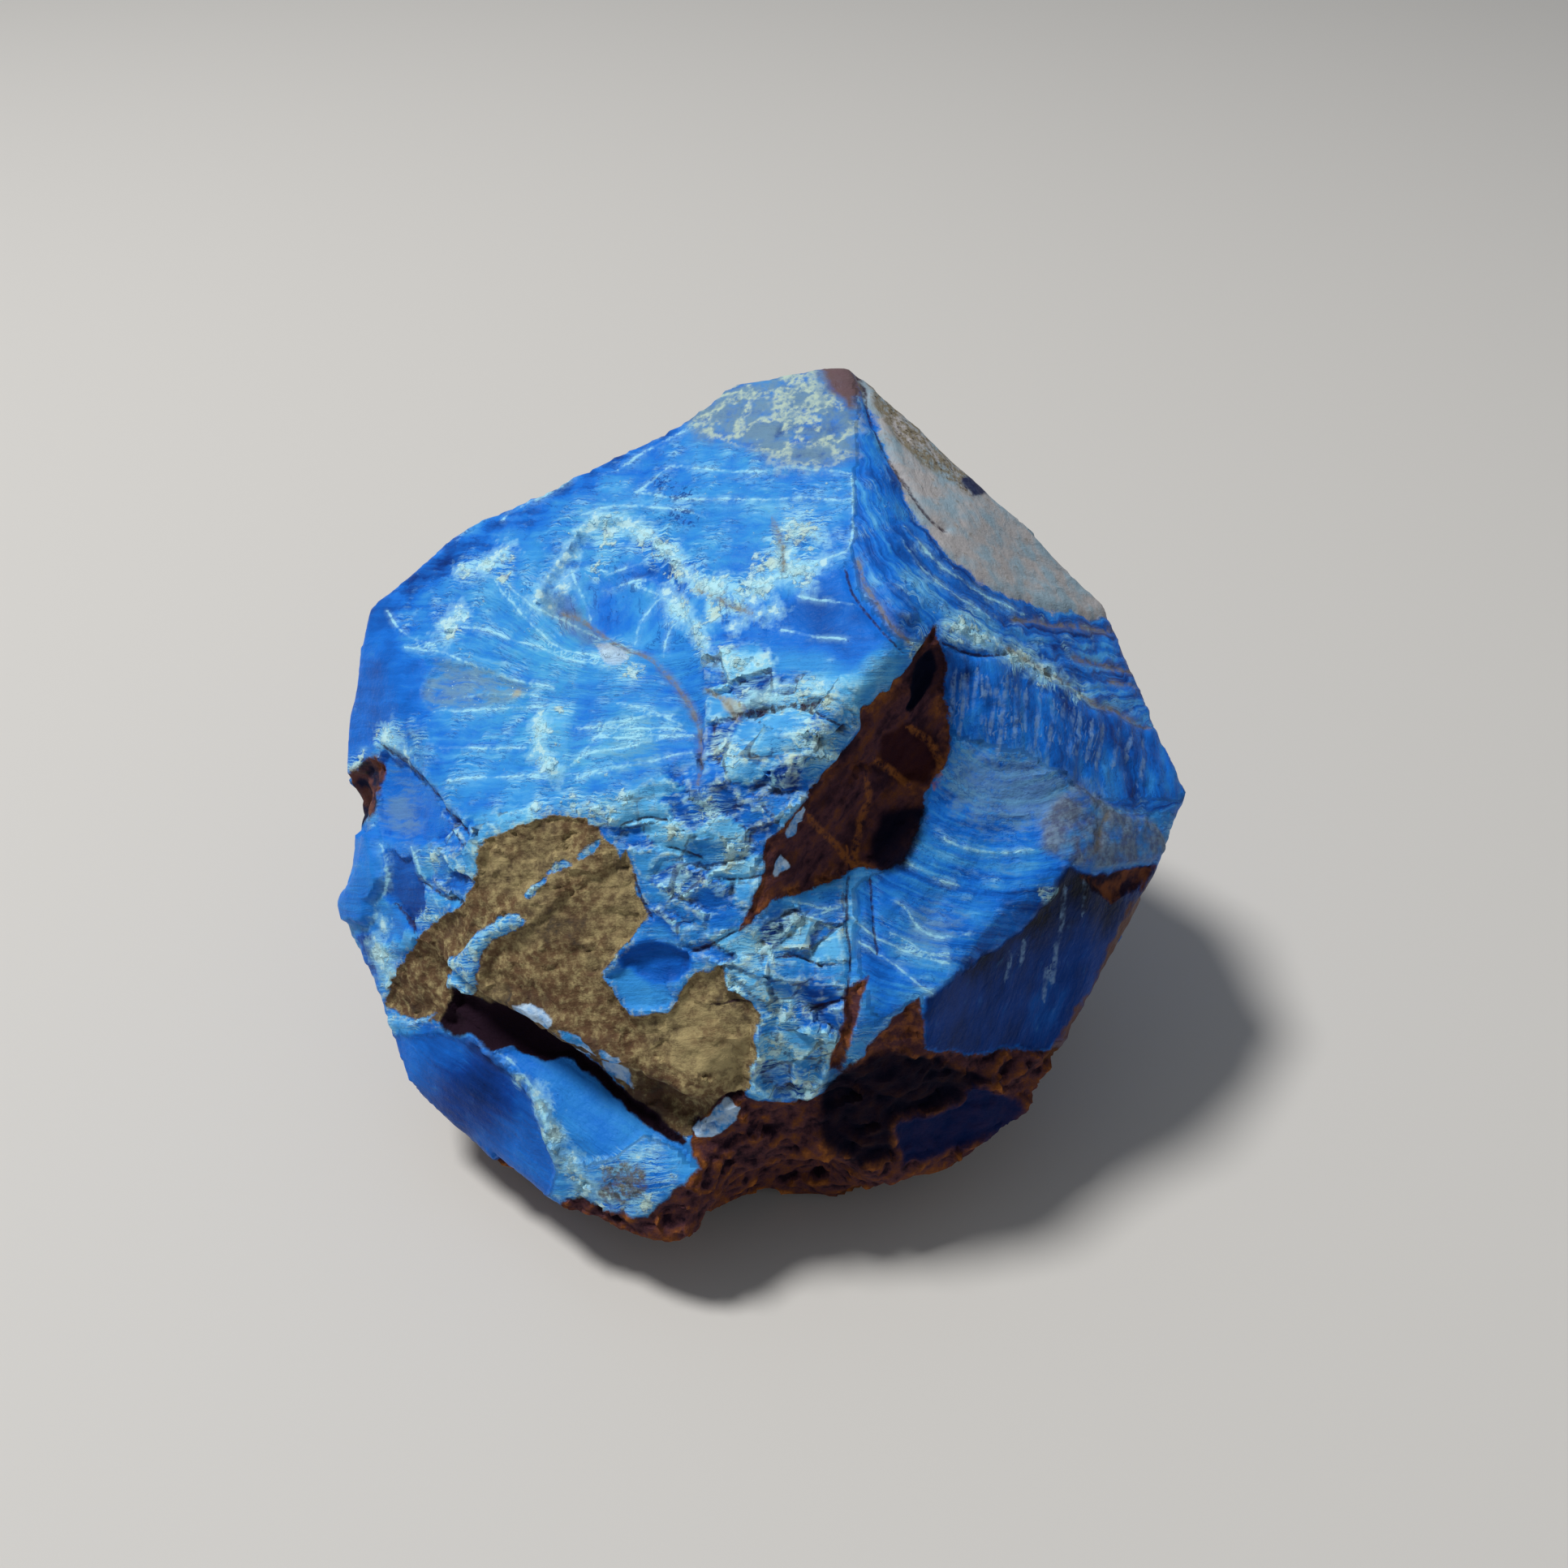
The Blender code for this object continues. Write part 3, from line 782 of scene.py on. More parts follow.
def flakes(points, size, seed, stretch=(1, 1, 1)):
    """Splits the stone into chips: how high a point stands on its own leaning chip, the chip's own
    number from 0 to 1, and how far the point is from the chip's edge, as a share of the chip."""
    places = points / size / np.array(stretch)
    cell = np.floor(places)
    first = np.full(len(points), 9.0)
    second = first.copy()
    height = np.zeros(len(points))
    own = np.zeros(len(points))
    for step in itertools.product((-1, 0, 1), repeat=3):
        corner = cell + step
        rolled = dice(corner, seed, 7)
        off = places - corner - rolled[:, :3]
        far = np.linalg.norm(off, axis=1)
        closer = far < first
        second = np.where(closer, first, np.minimum(second, far))
        lean = ((rolled[:, 3:6] - 0.5) * off).sum(1) * 2 + (rolled[:, 6] - 0.5) * 0.5
        height = np.where(closer, lean, height)
        own = np.where(closer, rolled[:, 6], own)
        first = np.where(closer, far, first)
    return height, own, second - first


def scales_of(points):
    return flakes(points, 7.5 * MM, 1, (1.3, 1, 0.8))[0]


def chips_of(points):
    return flakes(points, 3.6 * MM, 5, (1.2, 1, 0.8))[0]


def spread(values, edges, rounds):
    """Each round evens a value out with those of the neighbouring points."""
    count = np.bincount(edges.ravel(), minlength=len(values)) + 1.0
    for _ in range(rounds):
        there = np.bincount(edges[:, 0], values[edges[:, 1]], len(values))
        back = np.bincount(edges[:, 1], values[edges[:, 0]], len(values))
        values = (values + there + back) / count
    return values


def spread_each(vectors, edges, rounds):
    """The same for vectors, one axis after the other."""
    return np.column_stack([spread(vectors[:, axis], edges, rounds) for axis in range(3)])


# ---------------------------------------------------------------- what the skin's points know


def sheet_places(points):
    """Where the eye sees points, in steps across and down the sheet."""
    away = points - EYE
    ahead = away @ AHEAD
    return np.column_stack((away[:, 0] / ahead, -(away @ UP) / ahead)) * SHEET + SHEET / 2


def facing_eye(points, outward):
    """The cosine between the way out of the stone and the way to the eye."""
    return (outward * (EYE - points)).sum(1) / np.linalg.norm(EYE - points, axis=1)


def seen_from_eye(points, outward, tree):
    """1 for a point that the eye sees, 0 for one that turns away or lies behind the stone."""
    seen = np.zeros(len(points))
    starts = points + outward * 0.4 * MM
    ways = EYE - starts
    for index in np.flatnonzero(facing_eye(points, outward) > SEEN_AT):
        seen[index] = tree.ray_cast(starts[index], ways[index])[0] is None
    return seen


def most_inside(lies, names):
    """How far inside the deepest of several outlines each point lies."""
    return np.max([lies[name] for name in names], axis=0)


def sheet_flow(places, lies):
    """Across and along the grain of each part of the face, in steps."""
    u, v = places.T
    dip = 80 * rise(u, 560, 745) * np.exp(-(((v - 790) / 62) ** 2))
    across, along = v - dip + 0.03 * u, u.copy()
    round_bowl = np.hypot((u - 1250) / 1.2, v - 880)
    facet = (0.8 * v - 0.6 * u, 0.8 * u + 0.6 * v)
    grains = {
        "right_face": (-lies["plate"], 0.8 * u + 0.6 * v),
        "hackled": (u - 0.1 * v, v + 0.1 * u),
        "bowl": (np.where(u < 1056, v + 0.15 * u - 880, round_bowl), 250 * np.arctan2(v - 880, u - 1250)),
        "knee": (0.93 * u + 0.36 * v, 0.93 * v - 0.36 * u),
        "pit": (0.8 * u + 0.6 * v, 0.8 * v - 0.6 * u),
        "crust": (0.3 * u + v, u - 0.3 * v),
        "left_facet": facet,
        "right_facet": facet,
    }
    for name, (grain_across, grain_along) in grains.items():
        here = lies[name] > 0
        across[here] = grain_across[here]
        along[here] = grain_along[here]
    return across, along


def flow(points, places, lies, front, slab_lean):
    """Across and along the grain everywhere: drawn on the face, and leaning with each slab elsewhere."""
    x, y, z = (points / MM).T
    across, along = sheet_flow(places, lies)
    upward, sideways = (0.30 * x + 0.25 * y + 0.92 * z) / STEP, (0.85 * x - 0.5 * y) / STEP
    across = np.where(front, across, upward * np.cos(slab_lean) + sideways * np.sin(slab_lean))
    along = np.where(front, along, sideways * np.cos(slab_lean) - upward * np.sin(slab_lean))
    return {"across": across, "along": along}


def shades(points, drawn, lies, front, around):
    """The tone of the blue, with its painted highlights and shade, the share of pale veins and crumbs, and
    how plain the bands are.
    """
    painted_light_and_shade = spots(drawn, LIGHT_AND_SHADE_SPOTS)
    tone = np.where(front, 0.55 + painted_light_and_shade, 0.40 + 0.10 * waves(points, 22 * MM, 16))
    pale = np.where(front, 0.34, 0.22 + 0.25 * rise(around, 0.1, 0.7))
    banded = np.where(front, 0.12, 0.5 * rise(around, -0.2, 0.6))
    for name, (softness, its_tone, its_pale, its_bands) in PAINT.items():
        share = np.where(front, eased(lies[name], softness), 0.0)
        tone += (its_tone + painted_light_and_shade - tone) * share
        pale += (its_pale - pale) * share
        banded += (its_bands - banded) * share
    for u, v, extent in CRUMBS:
        off = np.hypot(drawn[:, 0] - u, drawn[:, 1] - v) / extent
        pale = np.maximum(pale, np.where(front, 1.15 - 0.45 * off, 0.0))
    return {"tone": tone, "pale": pale, "banded": banded}


def broken_ground(lies, front, own, rim):
    """Where the face is calm, where it is broken into chips, and each chip's tone, rim and gap; the rims
    carry painted highlight and the gaps painted shade.
    """
    calm = eased(most_inside(lies, CALM), 6)
    crumbly = np.maximum(eased(lies["flaky"], 14), 0.8 * eased(lies["ledge"], 10))
    crumbly = np.where(front, crumbly * (1 - calm), 0.0)
    return {
        "calm": np.where(front, calm, 0.0),
        "crumbly": crumbly,
        "chip_tone": (own - 0.5) * crumbly,
        "chip_rim": rise(rim, 0.26, 0.10) * crumbly,
        "chip_gap": rise(rim, 0.12, 0.02) * crumbly,
    }


def parts(points, lies, front, seen, around):
    """How far inside each part of the finish a point lies: by outline on the face, by noise elsewhere."""
    x, y, z = (points / MM).T
    ragged = 0.22 * waves(points, 5 * MM, 27)
    elsewhere = {
        "rind": np.minimum((around + ragged - 0.42 + 0.45 * rise(z, 34, 8)) * 40, 30),
        "crust": np.minimum((0.30 - z / 40 + 0.3 * around + 0.9 * rise(-y, 15, 40)) * 60, 30),
        "plate": np.minimum((0.9 * z + 0.35 * x - 0.1 * y - 112) * 3, 40),
    }
    within = {}
    for group, names in GROUPS.items():
        within[group] = np.where(front, most_inside(lies, names), elsewhere.get(group, -FAR_OFF))
    within["sliver"] += np.where(seen > IN_VIEW, 0.0, -FAR_OFF)
    stripes = most_inside(lies, RIND_BREAKS)
    within["rind"] = np.where(front, np.minimum(within["rind"], -stripes), within["rind"])
    return within


def know(points, seen):
    """What the finish asks of each point, what the chisel alone asks, and where the points are drawn."""
    places = sheet_places(points)
    front = seen > ON_FACE
    broad = [waves(points, 7 * MM, seed) for seed in (1, 2)]
    # The outlines are drawn unevenly, and the lines along with them, but less so.
    wobble = [6 * wide + 4 * waves(points, 2.5 * MM, seed) for wide, seed in zip(broad, (3, 4))]
    drawn = places + np.column_stack(wobble)
    traced = places + 3 * np.column_stack(broad)
    lies = {name: inside(drawn, outline) for name, outline in OUTLINES.items()}
    lies["scar"] = inside(drawn, SCAR_FLOOR)

    slab, own_slab, _ = flakes(points, 21 * MM, 4)
    slab_lean = (own_slab - 0.5) * 1.5 + 0.10 * waves(points, 30 * MM, 5)
    around = waves(points, 34 * MM, 6) + 0.5 * waves(points, 12 * MM, 7)
    plates, own, rim = flakes(points, 6.5 * MM, 31, (1.25, 1, 0.7))

    known = flow(points, places, lies, front, slab_lean)
    known.update(shades(points, drawn, lies, front, around))
    known.update(broken_ground(lies, front, own, rim))
    known.update(parts(points, lies, front, seen, around))
    for name, table in (("teal", TEAL_SPOTS), ("haze", HAZE_SPOTS), ("rind_stain", RIND_STAINS)):
        known[name] = np.where(front, spots(drawn, table), 0.0)
    known["rind_tone"] = np.where(front, spots(drawn, RIND_SPOTS), 0.15 * around)
    for family, lines in LINE_FAMILIES.items():
        near, side = beside(traced, lines)
        known[family + "_near"] = np.where(front, near, FAR_OFF)
        known[family + "_side"] = np.where(front, side, FAR_OFF)
    return known, {**lies, "slab": slab, "plates": plates}, drawn


# ---------------------------------------------------------------- the chisel


def scar_relief(lies, drawn):
    """The shallow shell: deepest along its valley, with a wall beyond it that runs out."""
    near_rim, _ = reach(drawn, rounded(SCAR["rim"]))
    near_valley, _ = reach(drawn, rounded(SCAR["valley"]))
    hollow = 2.3 * near_rim / (near_rim + near_valley + 1) + 0.5 * rise(lies["scar"], 0, 5)
    beyond = 2.3 * np.exp(-near_valley / 26) * rise(near_rim - near_valley, 0, 12)
    return -np.where(lies["scar"] > 0, hollow, beyond)


def step_relief(points, lies, drawn):
    """Parts that are sunk or raised as a whole, each within a wall of its own, and the raised rims."""
    raised = -1.3 * rise(lies["rind_chip"], 0, 30) * rise(-(drawn @ (0.5, 0.8)) + 1370, 0, 40)
    for name, (depth, wall) in TERRACES.items():
        raised -= depth * rise(lies[name], 0, wall)
    ragged = 0.75 + 0.5 * waves(points, 3.5 * MM, 21)
    for line, height, half in RIMS.values():
        near, _ = reach(drawn, rounded(line))
        raised += height * ragged * crest(near, half)
    return raised


def flowing_relief(points, known, lies):
    """Streaks and ripples along the grain, soft dents, and the sag of the bowl."""
    rougher = 1 - 0.8 * known["calm"]
    hackled = eased(lies["hackled"], 6)
    bowl = eased(lies["bowl"], 8)
    grain = np.column_stack((known["across"], known["along"], np.zeros(len(points))))
    streaks = waves(grain * (1 / 13, 1 / 75, 0), 1, 1)
    broad = waves(grain * (1 / 30, 1 / 130, 0), 1, 3)
    raised = (0.10 * rougher * (1 - known["crumbly"]) + 0.42 * hackled) * streaks
    raised += (0.26 + 0.2 * bowl) * rougher * broad
    dented = 0.28 * waves(points, 11 * MM, 24) + 0.13 * waves(points, 4.5 * MM, 25)
    raised += rougher * dented
    ripple = np.sin(known["across"] * math.tau / 15 + 1.5 * waves(points, 9 * MM, 22))
    raised += 0.09 * known["banded"] * ripple
    return raised - 1.8 * rise(lies["bowl"], 0, 110)


def chipped_relief(points, known, lies):
    """Slabs, chips and crumbs, the knobs of the crust, the fibres of the rind, and the drawn lines."""
    crumbly = known["crumbly"]
    scales, chips = scales_of(points), chips_of(points)
    crumbs, _, _ = flakes(points, 1.9 * MM, 2)
    uneven = 0.16 * (1 - known["calm"])
    raised = np.maximum(crumbly, uneven) * (1.7 * lies["plates"] + 0.45 * chips)
    paler = rise(known["pale"], 0.6, 1.0) * (1 - 0.7 * eased(lies["mottled_top"], 6))
    raised += crumbs * (0.15 * crumbly + 0.5 * paler)
    lumps = np.maximum(eased(lies["crust"], 6), 0.5 * eased(lies["pit"], 6))
    lumps *= 1 - 0.7 * eased(lies["foot_blue"], 6)
    knobs = np.abs(waves(points, 8 * MM, 18)) + 0.5 * np.abs(waves(points, 4 * MM, 8))
    raised += lumps * (1.3 * scales + 0.6 * chips + 1.9 * knobs - 1.0)
    raised += 0.22 * eased(known["rind"], 4) * (waves(points, 2.1 * MM, 9) + 2 * chips)
    raised -= 0.7 * crest(known["crack_near"], 4.0)
    raised -= 0.3 * crest(known["tan_near"], 4.0)
    raised += 0.16 * crest(known["pale_near"], 4.0)
    raised += (0.10 + 0.4 * crumbs) * crest(known["crumb_near"], 6.0)
    return raised


def front_relief(points, known, lies, drawn):
    """How far the chisel raises each point of the face, in millimetres; a cut is below zero."""
    large = scar_relief(lies, drawn) + step_relief(points, lies, drawn)
    return large + flowing_relief(points, known, lies) + chipped_relief(points, known, lies)


def around_relief(points, known, slab, hidden):
    """The same for the sides, the back and the underside, at its fullest where the eye sees nothing."""
    raised = np.zeros(len(points))
    millimetres = points / MM
    for struck, middle, extent in SHELLS.values():
        from_blow = np.linalg.norm(millimetres - np.array(struck), axis=1)
        share = rise(np.linalg.norm(millimetres - np.array(middle), axis=1), extent, extent * 0.75)
        raised += 0.34 * share * np.sin(2.4 * from_blow**0.82 + 1.2 * waves(points, 16 * MM, 11))
        raised -= 0.9 * share
    rough = rise(waves(points, 24 * MM, 12), 0.05, 0.45)
    low = eased(known["crust"], 8)
    chipped = (1.8 * scales_of(points) + 0.9 * chips_of(points)) * np.maximum(rough, low)
    raised += hidden * (2.6 * slab + chipped)
    raised += 0.8 * rise(known["rind"], -2, 5) * (1 - low) + 0.3 * waves(points, 9 * MM, 26)
    return np.minimum(raised - 0.6 * hidden, 1.2)


# ---------------------------------------------------------------- the skin


def apply_all(thing):
    for modifier in list(thing.modifiers):
        bpy.ops.object.modifier_apply(modifier=modifier.name)


def numbers(collection, what, width, kind=np.float64):
    """The values of a mesh's points, edges or faces as an array."""
    values = np.empty(len(collection) * width, kind)
    collection.foreach_get(what, values)
    return values.reshape(-1, width)


def smooth_away(thing, rounds):
    smooth = thing.modifiers.new("smooth", "SMOOTH")
    smooth.factor = 0.5
    smooth.iterations = rounds
    apply_all(thing)


def cast_skin(grain):
    """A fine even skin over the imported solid, twice as fine where the eye sees it."""
    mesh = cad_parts[NODE].data.copy()
    mesh.name = SKIN
    skin = bpy.data.objects.new(SKIN, mesh)
    bpy.context.scene.collection.objects.link(skin)
    bpy.ops.object.select_all(action="DESELECT")
    skin.select_set(True)
    bpy.context.view_layer.objects.active = skin
    bpy.ops.object.mode_set(mode="EDIT")
    bpy.ops.mesh.select_all(action="SELECT")
    bpy.ops.mesh.remove_doubles(threshold=SAME_POINT)
    bpy.ops.object.mode_set(mode="OBJECT")
    voxels = skin.modifiers.new("voxels", "REMESH")
    voxels.mode = "VOXEL"
    voxels.voxel_size = grain
    apply_all(skin)
    smooth_away(skin, 3)

    facing = facing_eye(numbers(skin.data.vertices, "co", 3), numbers(skin.data.vertices, "normal", 3))
    faces = numbers(skin.data.polygons, "vertices", 4, np.int32)
    bpy.ops.object.mode_set(mode="EDIT")
    bpy.ops.mesh.select_mode(type="FACE")
    bpy.ops.mesh.select_all(action="DESELECT")
    bpy.ops.object.mode_set(mode="OBJECT")
    skin.data.polygons.foreach_set("select", facing[faces].max(axis=1) > FINE_AT)
    bpy.ops.object.mode_set(mode="EDIT")
    bpy.ops.mesh.subdivide(number_cuts=1)
    bpy.ops.object.mode_set(mode="OBJECT")
    smooth_away(skin, 2)
    return skin


def wear(points, outward, edges):
    """How far each point stands out from its neighbours, in millimetres: hollows are below zero."""
    even = spread_each(points, edges, 2)
    return spread(((points - even) * outward).sum(1) / MM, edges, 1)


def chisel(skin, relief, graph):
    """Raises and sinks the skin's points, and gives back what the finish asks of each of them."""
    mesh = skin.data
    points = numbers(mesh.vertices, "co", 3)
    outward = numbers(mesh.vertices, "normal", 3)
    edges = numbers(mesh.edges, "vertices", 2, np.int32)
    seen = seen_from_eye(points, outward, BVHTree.FromObject(skin, graph))
    known, lies, drawn = know(points, spread(seen, edges, 5))
    face_share = spread(seen, edges, 3)
    hidden = rise(spread(seen, edges, 16), 0.6, 0.05)
    height = face_share * front_relief(points, known, lies, drawn)
    height += (1 - face_share) * around_relief(points, known, lies["slab"], hidden)
    height += 0.05 * waves(points, 1.5 * MM, 13)
    height *= relief * rise(points[:, 2], *FOOT)
    direction = spread_each(outward, edges, 4)
    direction /= np.linalg.norm(direction, axis=1)[:, None]
    moved = points + direction * height[:, None] * MM
    moved[:, 2] = np.maximum(moved[:, 2], 0)
    mesh.vertices.foreach_set("co", moved.ravel())
    mesh.update()
    known["wear"] = wear(moved, numbers(mesh.vertices, "normal", 3), edges)
    return known


class STONE_OT_skin(bpy.types.Operator):
    """Casts the fine skin over the solid, chips and ripples it, and notes what its points know"""

    bl_idname = "blue_stone.skin"
    bl_label = "Skin"

    def execute(self, context):
        sizes = context.scene.blue_stone
        skin = cast_skin(sizes.grain)
        known = chisel(skin, sizes.relief, context.evaluated_depsgraph_get())
        for name, values in known.items():
            skin.data.attributes.new(name, "FLOAT", "POINT").data.foreach_set("value", values)
        bpy.ops.object.shade_smooth_by_angle(angle=SHARP)
        skin.data.materials.clear()
        skin.data.materials.append(stone_finish(sizes))
        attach(skin, BODY)
        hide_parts(NODE)
        return {"FINISHED"}


# ---------------------------------------------------------------- the finish


class Wire:
    """An output of a shader node. Sums on wires add Math nodes, and node() adds any other."""

    def __init__(self, tree, socket=None):
        self.tree = tree
        self.socket = socket

    def node(self, kind, settings=None, feeds=None, out=0):
        """Adds a node: first its settings, then what its sockets hold or are linked to."""
        made = self.tree.nodes.new("ShaderNode" + kind)
        for name, value in (settings or {}).items():
            if name == "stops":
                set_stops(made.color_ramp, value)
            else:
                setattr(made, name, value)
        for name, value in (feeds or {}).items():
            if isinstance(value, Wire):
                self.tree.links.new(value.socket, made.inputs[name])
            else:
                made.inputs[name].default_value = value
        return Wire(self.tree, made.outputs[out])

    def math(self, operation, first, second=0.0):
        return self.node("Math", {"operation": operation}, {0: first, 1: second})

    def __add__(self, other):
        return self.math("ADD", self, other)

    __radd__ = __add__

    def __sub__(self, other):
        return self.math("SUBTRACT", self, other)

    def __rsub__(self, other):
        return self.math("SUBTRACT", other, self)

    def __mul__(self, other):
        return self.math("MULTIPLY", self, other)

    __rmul__ = __mul__

    def __abs__(self):
        return self.math("ABSOLUTE", self)

    def swing(self, amount):
        """The wire about 0 instead of about a half, so many times as strong."""
        return (self - 0.5) * amount

    def ease(self, low, high):
        """0 where this wire is at low, 1 where it is at high."""
        feeds = {"Value": self, "From Min": min(low, high), "From Max": max(low, high)}
        feeds.update({"To Min": float(low > high), "To Max": float(low < high)})
        return self.node("MapRange", {"interpolation_type": "SMOOTHSTEP"}, feeds)

    def over(self, under, colour):
        """The colour, with this wire as its share, laid over another."""
        return self.node("Mix", {"data_type": "RGBA"}, {0: self, 6: under, 7: colour}, out=2)


def set_stops(ramp, stops):
    while len(ramp.elements) < len(stops):
        ramp.elements.new(1.0)
    for element, (position, colour) in zip(ramp.elements, stops):
        element.position = position
        element.color = colour


class Paint:
    """The stone's colour as it is laid on, coat over coat, and the patterns that the coats share."""

    def __init__(self, tree, colours):
        self.pen = Wire(tree)
        self.place = self.pen.node("TexCoord", out=3)
        self.across = self.field("across")
        self.along = self.field("along")
        self.pale = self.field("pale")
        self.crumbly = self.field("crumbly")
        self.wear = self.field("wear")
        self.restless = 1 - self.field("calm") * 0.6

        self.cloud = self.grit(9)
        self.patch = self.grit(4.2, seed=3.0)
        self.coarse = self.grit(2.2, 3.0, 0.6, 9.0)
        self.fibre = self.grit(1.5, 5.0, 0.7, 13.0)
        self.fine = self.grit(1.2, 4.0, 0.62, 5.0)
        self.dust = self.grit(0.6, 3.0, 0.6, 7.0)
        self.uneven = self.grit(1.6, seed=37.0).swing(5)
        self.frayed = self.fine.swing(9) + self.dust.swing(5)
        self.ragged = self.fine.ease(0.35, 0.6)
        self.broken = self.patch * 0.6 + self.fine * 0.4

        self.wander = self.cloud.swing(12) + self.patch.swing(12) + self.fine.swing(3)
        self.band = self.streaks(12, 130, 3.0, 1.0)
        self.thread = self.streaks(4, 60, 3.0, 11.0)
        self.smear = self.streaks(6, 26, 4.0, 19.0)
        stripe = self.streaks(11, 600, 3.0, 29.0, 0.6)
        self.stripes = (stripe - 0.5) * self.field("banded") * self.cloud.ease(0.30, 0.55)

        crumbs = self.pale * 0.75 + self.coarse.swing(1.5) + self.fine.swing(1.2) + self.smear.swing(0.3)
        self.crumb = crumbs.ease(0.56, 0.80)
        self.cream = (self.patch.ease(0.46, 0.64) * 0.7).over(colours.crumb, colours.cream)
        self.plate = self.region("plate", 2.0)
        self.crust = self.region("crust", 2.5)
        self.pit = self.region("pit", 1.4)
        self.groove = self.region("groove", 2.0, 0.5)
        self.notch = self.region("notch", 3.0)
        self.rind_depth = self.field("rind") + self.frayed * 0.9
        self.rind = self.rind_depth.ease(-1.5, 1.5)
        self.colour = colours.blue

    def field(self, name):
        return self.pen.node("Attribute", {"attribute_name": name}, out=2)

    def grit(self, size_mm, detail=3.0, roughness=0.55, seed=0.0):
        """Even cloudy grain, about 0 to 1, with clouds of the given size."""
        feeds = {"Vector": self.place, "W": seed, "Scale": 1000 / size_mm, "Detail": detail}
        return self.pen.node("TexNoise", {"noise_dimensions": "4D"}, {**feeds, "Roughness": roughness})

    def streaks(self, width, length, detail, seed, sway=1.0):
        """Grain drawn out along the stone's bands, in steps."""
        across = (self.across + self.wander * sway) * (1 / width)
        vector = self.pen.node("CombineXYZ", feeds={"X": across, "Y": self.along * (1 / length), "Z": seed})
        feeds = {"Vector": vector, "Scale": 1.0, "Detail": detail, "Roughness": 0.6}
        return self.pen.node("TexNoise", feeds=feeds)

    def ramp(self, share, stops):
        return self.pen.node("ValToRGB", {"stops": stops}, {"Fac": share})

    def line(self, family, width):
        """The lines of a family, as wide as given in steps, round at their ends."""
        core = abs(self.field(family + "_side") + self.uneven).ease(width, width * 0.3)
        return core * self.field(family + "_near").ease(width + 2.8, width + 1)

    def region(self, name, softness, fray=1.0):
        """1 inside a part of the stone, with a soft and frayed edge."""
        return (self.field(name) + self.frayed * fray).ease(-softness, softness)

    def lay(self, share, colour):
        self.colour = share.over(self.colour, colour)


def blue_bands(paint, colours):
    """Blues in bands, from nearly black to sky, with teal and grey-blue clouds."""
    drift = paint.cloud.swing(0.7) + paint.band.swing(0.5) + paint.smear.swing(0.2)
    # The tone holds painted highlights and painted shade, such as the dark knee.
    tone = paint.field("tone") + drift * paint.restless + paint.stripes * 1.5
    tone = tone + paint.field("chip_tone") * 0.75
    blues = ((0.0, colours.ink), (0.10, colours.deep), (0.24, colours.dark))
    blues += ((0.42, colours.blue), (0.64, colours.bright), (0.92, colours.sky))
    paint.colour = paint.ramp(tone, blues)
    teal = (paint.field("teal") + paint.smear.swing(1.0) + paint.cloud.swing(0.5)).ease(0.10, 0.70)
    paint.lay(teal * 0.6, colours.teal)
    hazy = (paint.field("haze") + paint.smear.swing(1.3) + paint.cloud.swing(0.5)).ease(0.22, 0.72)
    paint.lay(hazy * 0.6, colours.haze)


def pale_veins(paint, colours):
    """Silky streaks of painted sheen, fine veins, crumbs, and the lines that were drawn, from pale cyan to
    cream.
    """
    patch, fine = paint.patch, paint.fine
    # Painted sheen: pale silky streaks along the bands.
    sheen_streaks = (paint.band * 0.4 + paint.smear * 0.2 + 0.2 + paint.stripes * 1.6).ease(0.50, 0.66)
    sheen_streaks = sheen_streaks * (paint.pale + paint.cloud.swing(1.2)).ease(0.15, 0.65)
    paint.lay(sheen_streaks * 0.34, colours.pale)
    vein = abs(paint.thread - 0.5).ease(0.07, 0.01) * (paint.pale + patch.swing(1.6)).ease(0.25, 0.8)
    paint.lay(vein * 0.75, colours.pale)
    paint.lay(paint.crumb * 0.85, paint.cream)
    broken = paint.broken.ease(0.42, 0.58)
    paint.lay(paint.field("pale_near").ease(9, 0) * broken * 0.30, colours.pale)
    paint.lay(paint.line("pale", 2.2) * (broken * 0.9 + 0.12) * 0.8, colours.pale)
    dusky = abs(paint.smear - 0.47).ease(0.03, 0.005) * patch.ease(0.42, 0.58) * paint.restless
    paint.lay(dusky * 0.55, colours.dark)
    near_crumbs = paint.field("crumb_near") + fine.swing(30) + paint.coarse.swing(34) + patch.swing(38)
    paint.lay(near_crumbs.ease(16, 2) * 0.45, colours.pale)
    paint.lay(near_crumbs.ease(3, -3) * 0.85, paint.cream)
    strokes = paint.line("stroke", 4.0) * fine.ease(0.32, 0.58) * patch.ease(0.35, 0.55)
    paint.lay(strokes * 0.6, colours.stroke)


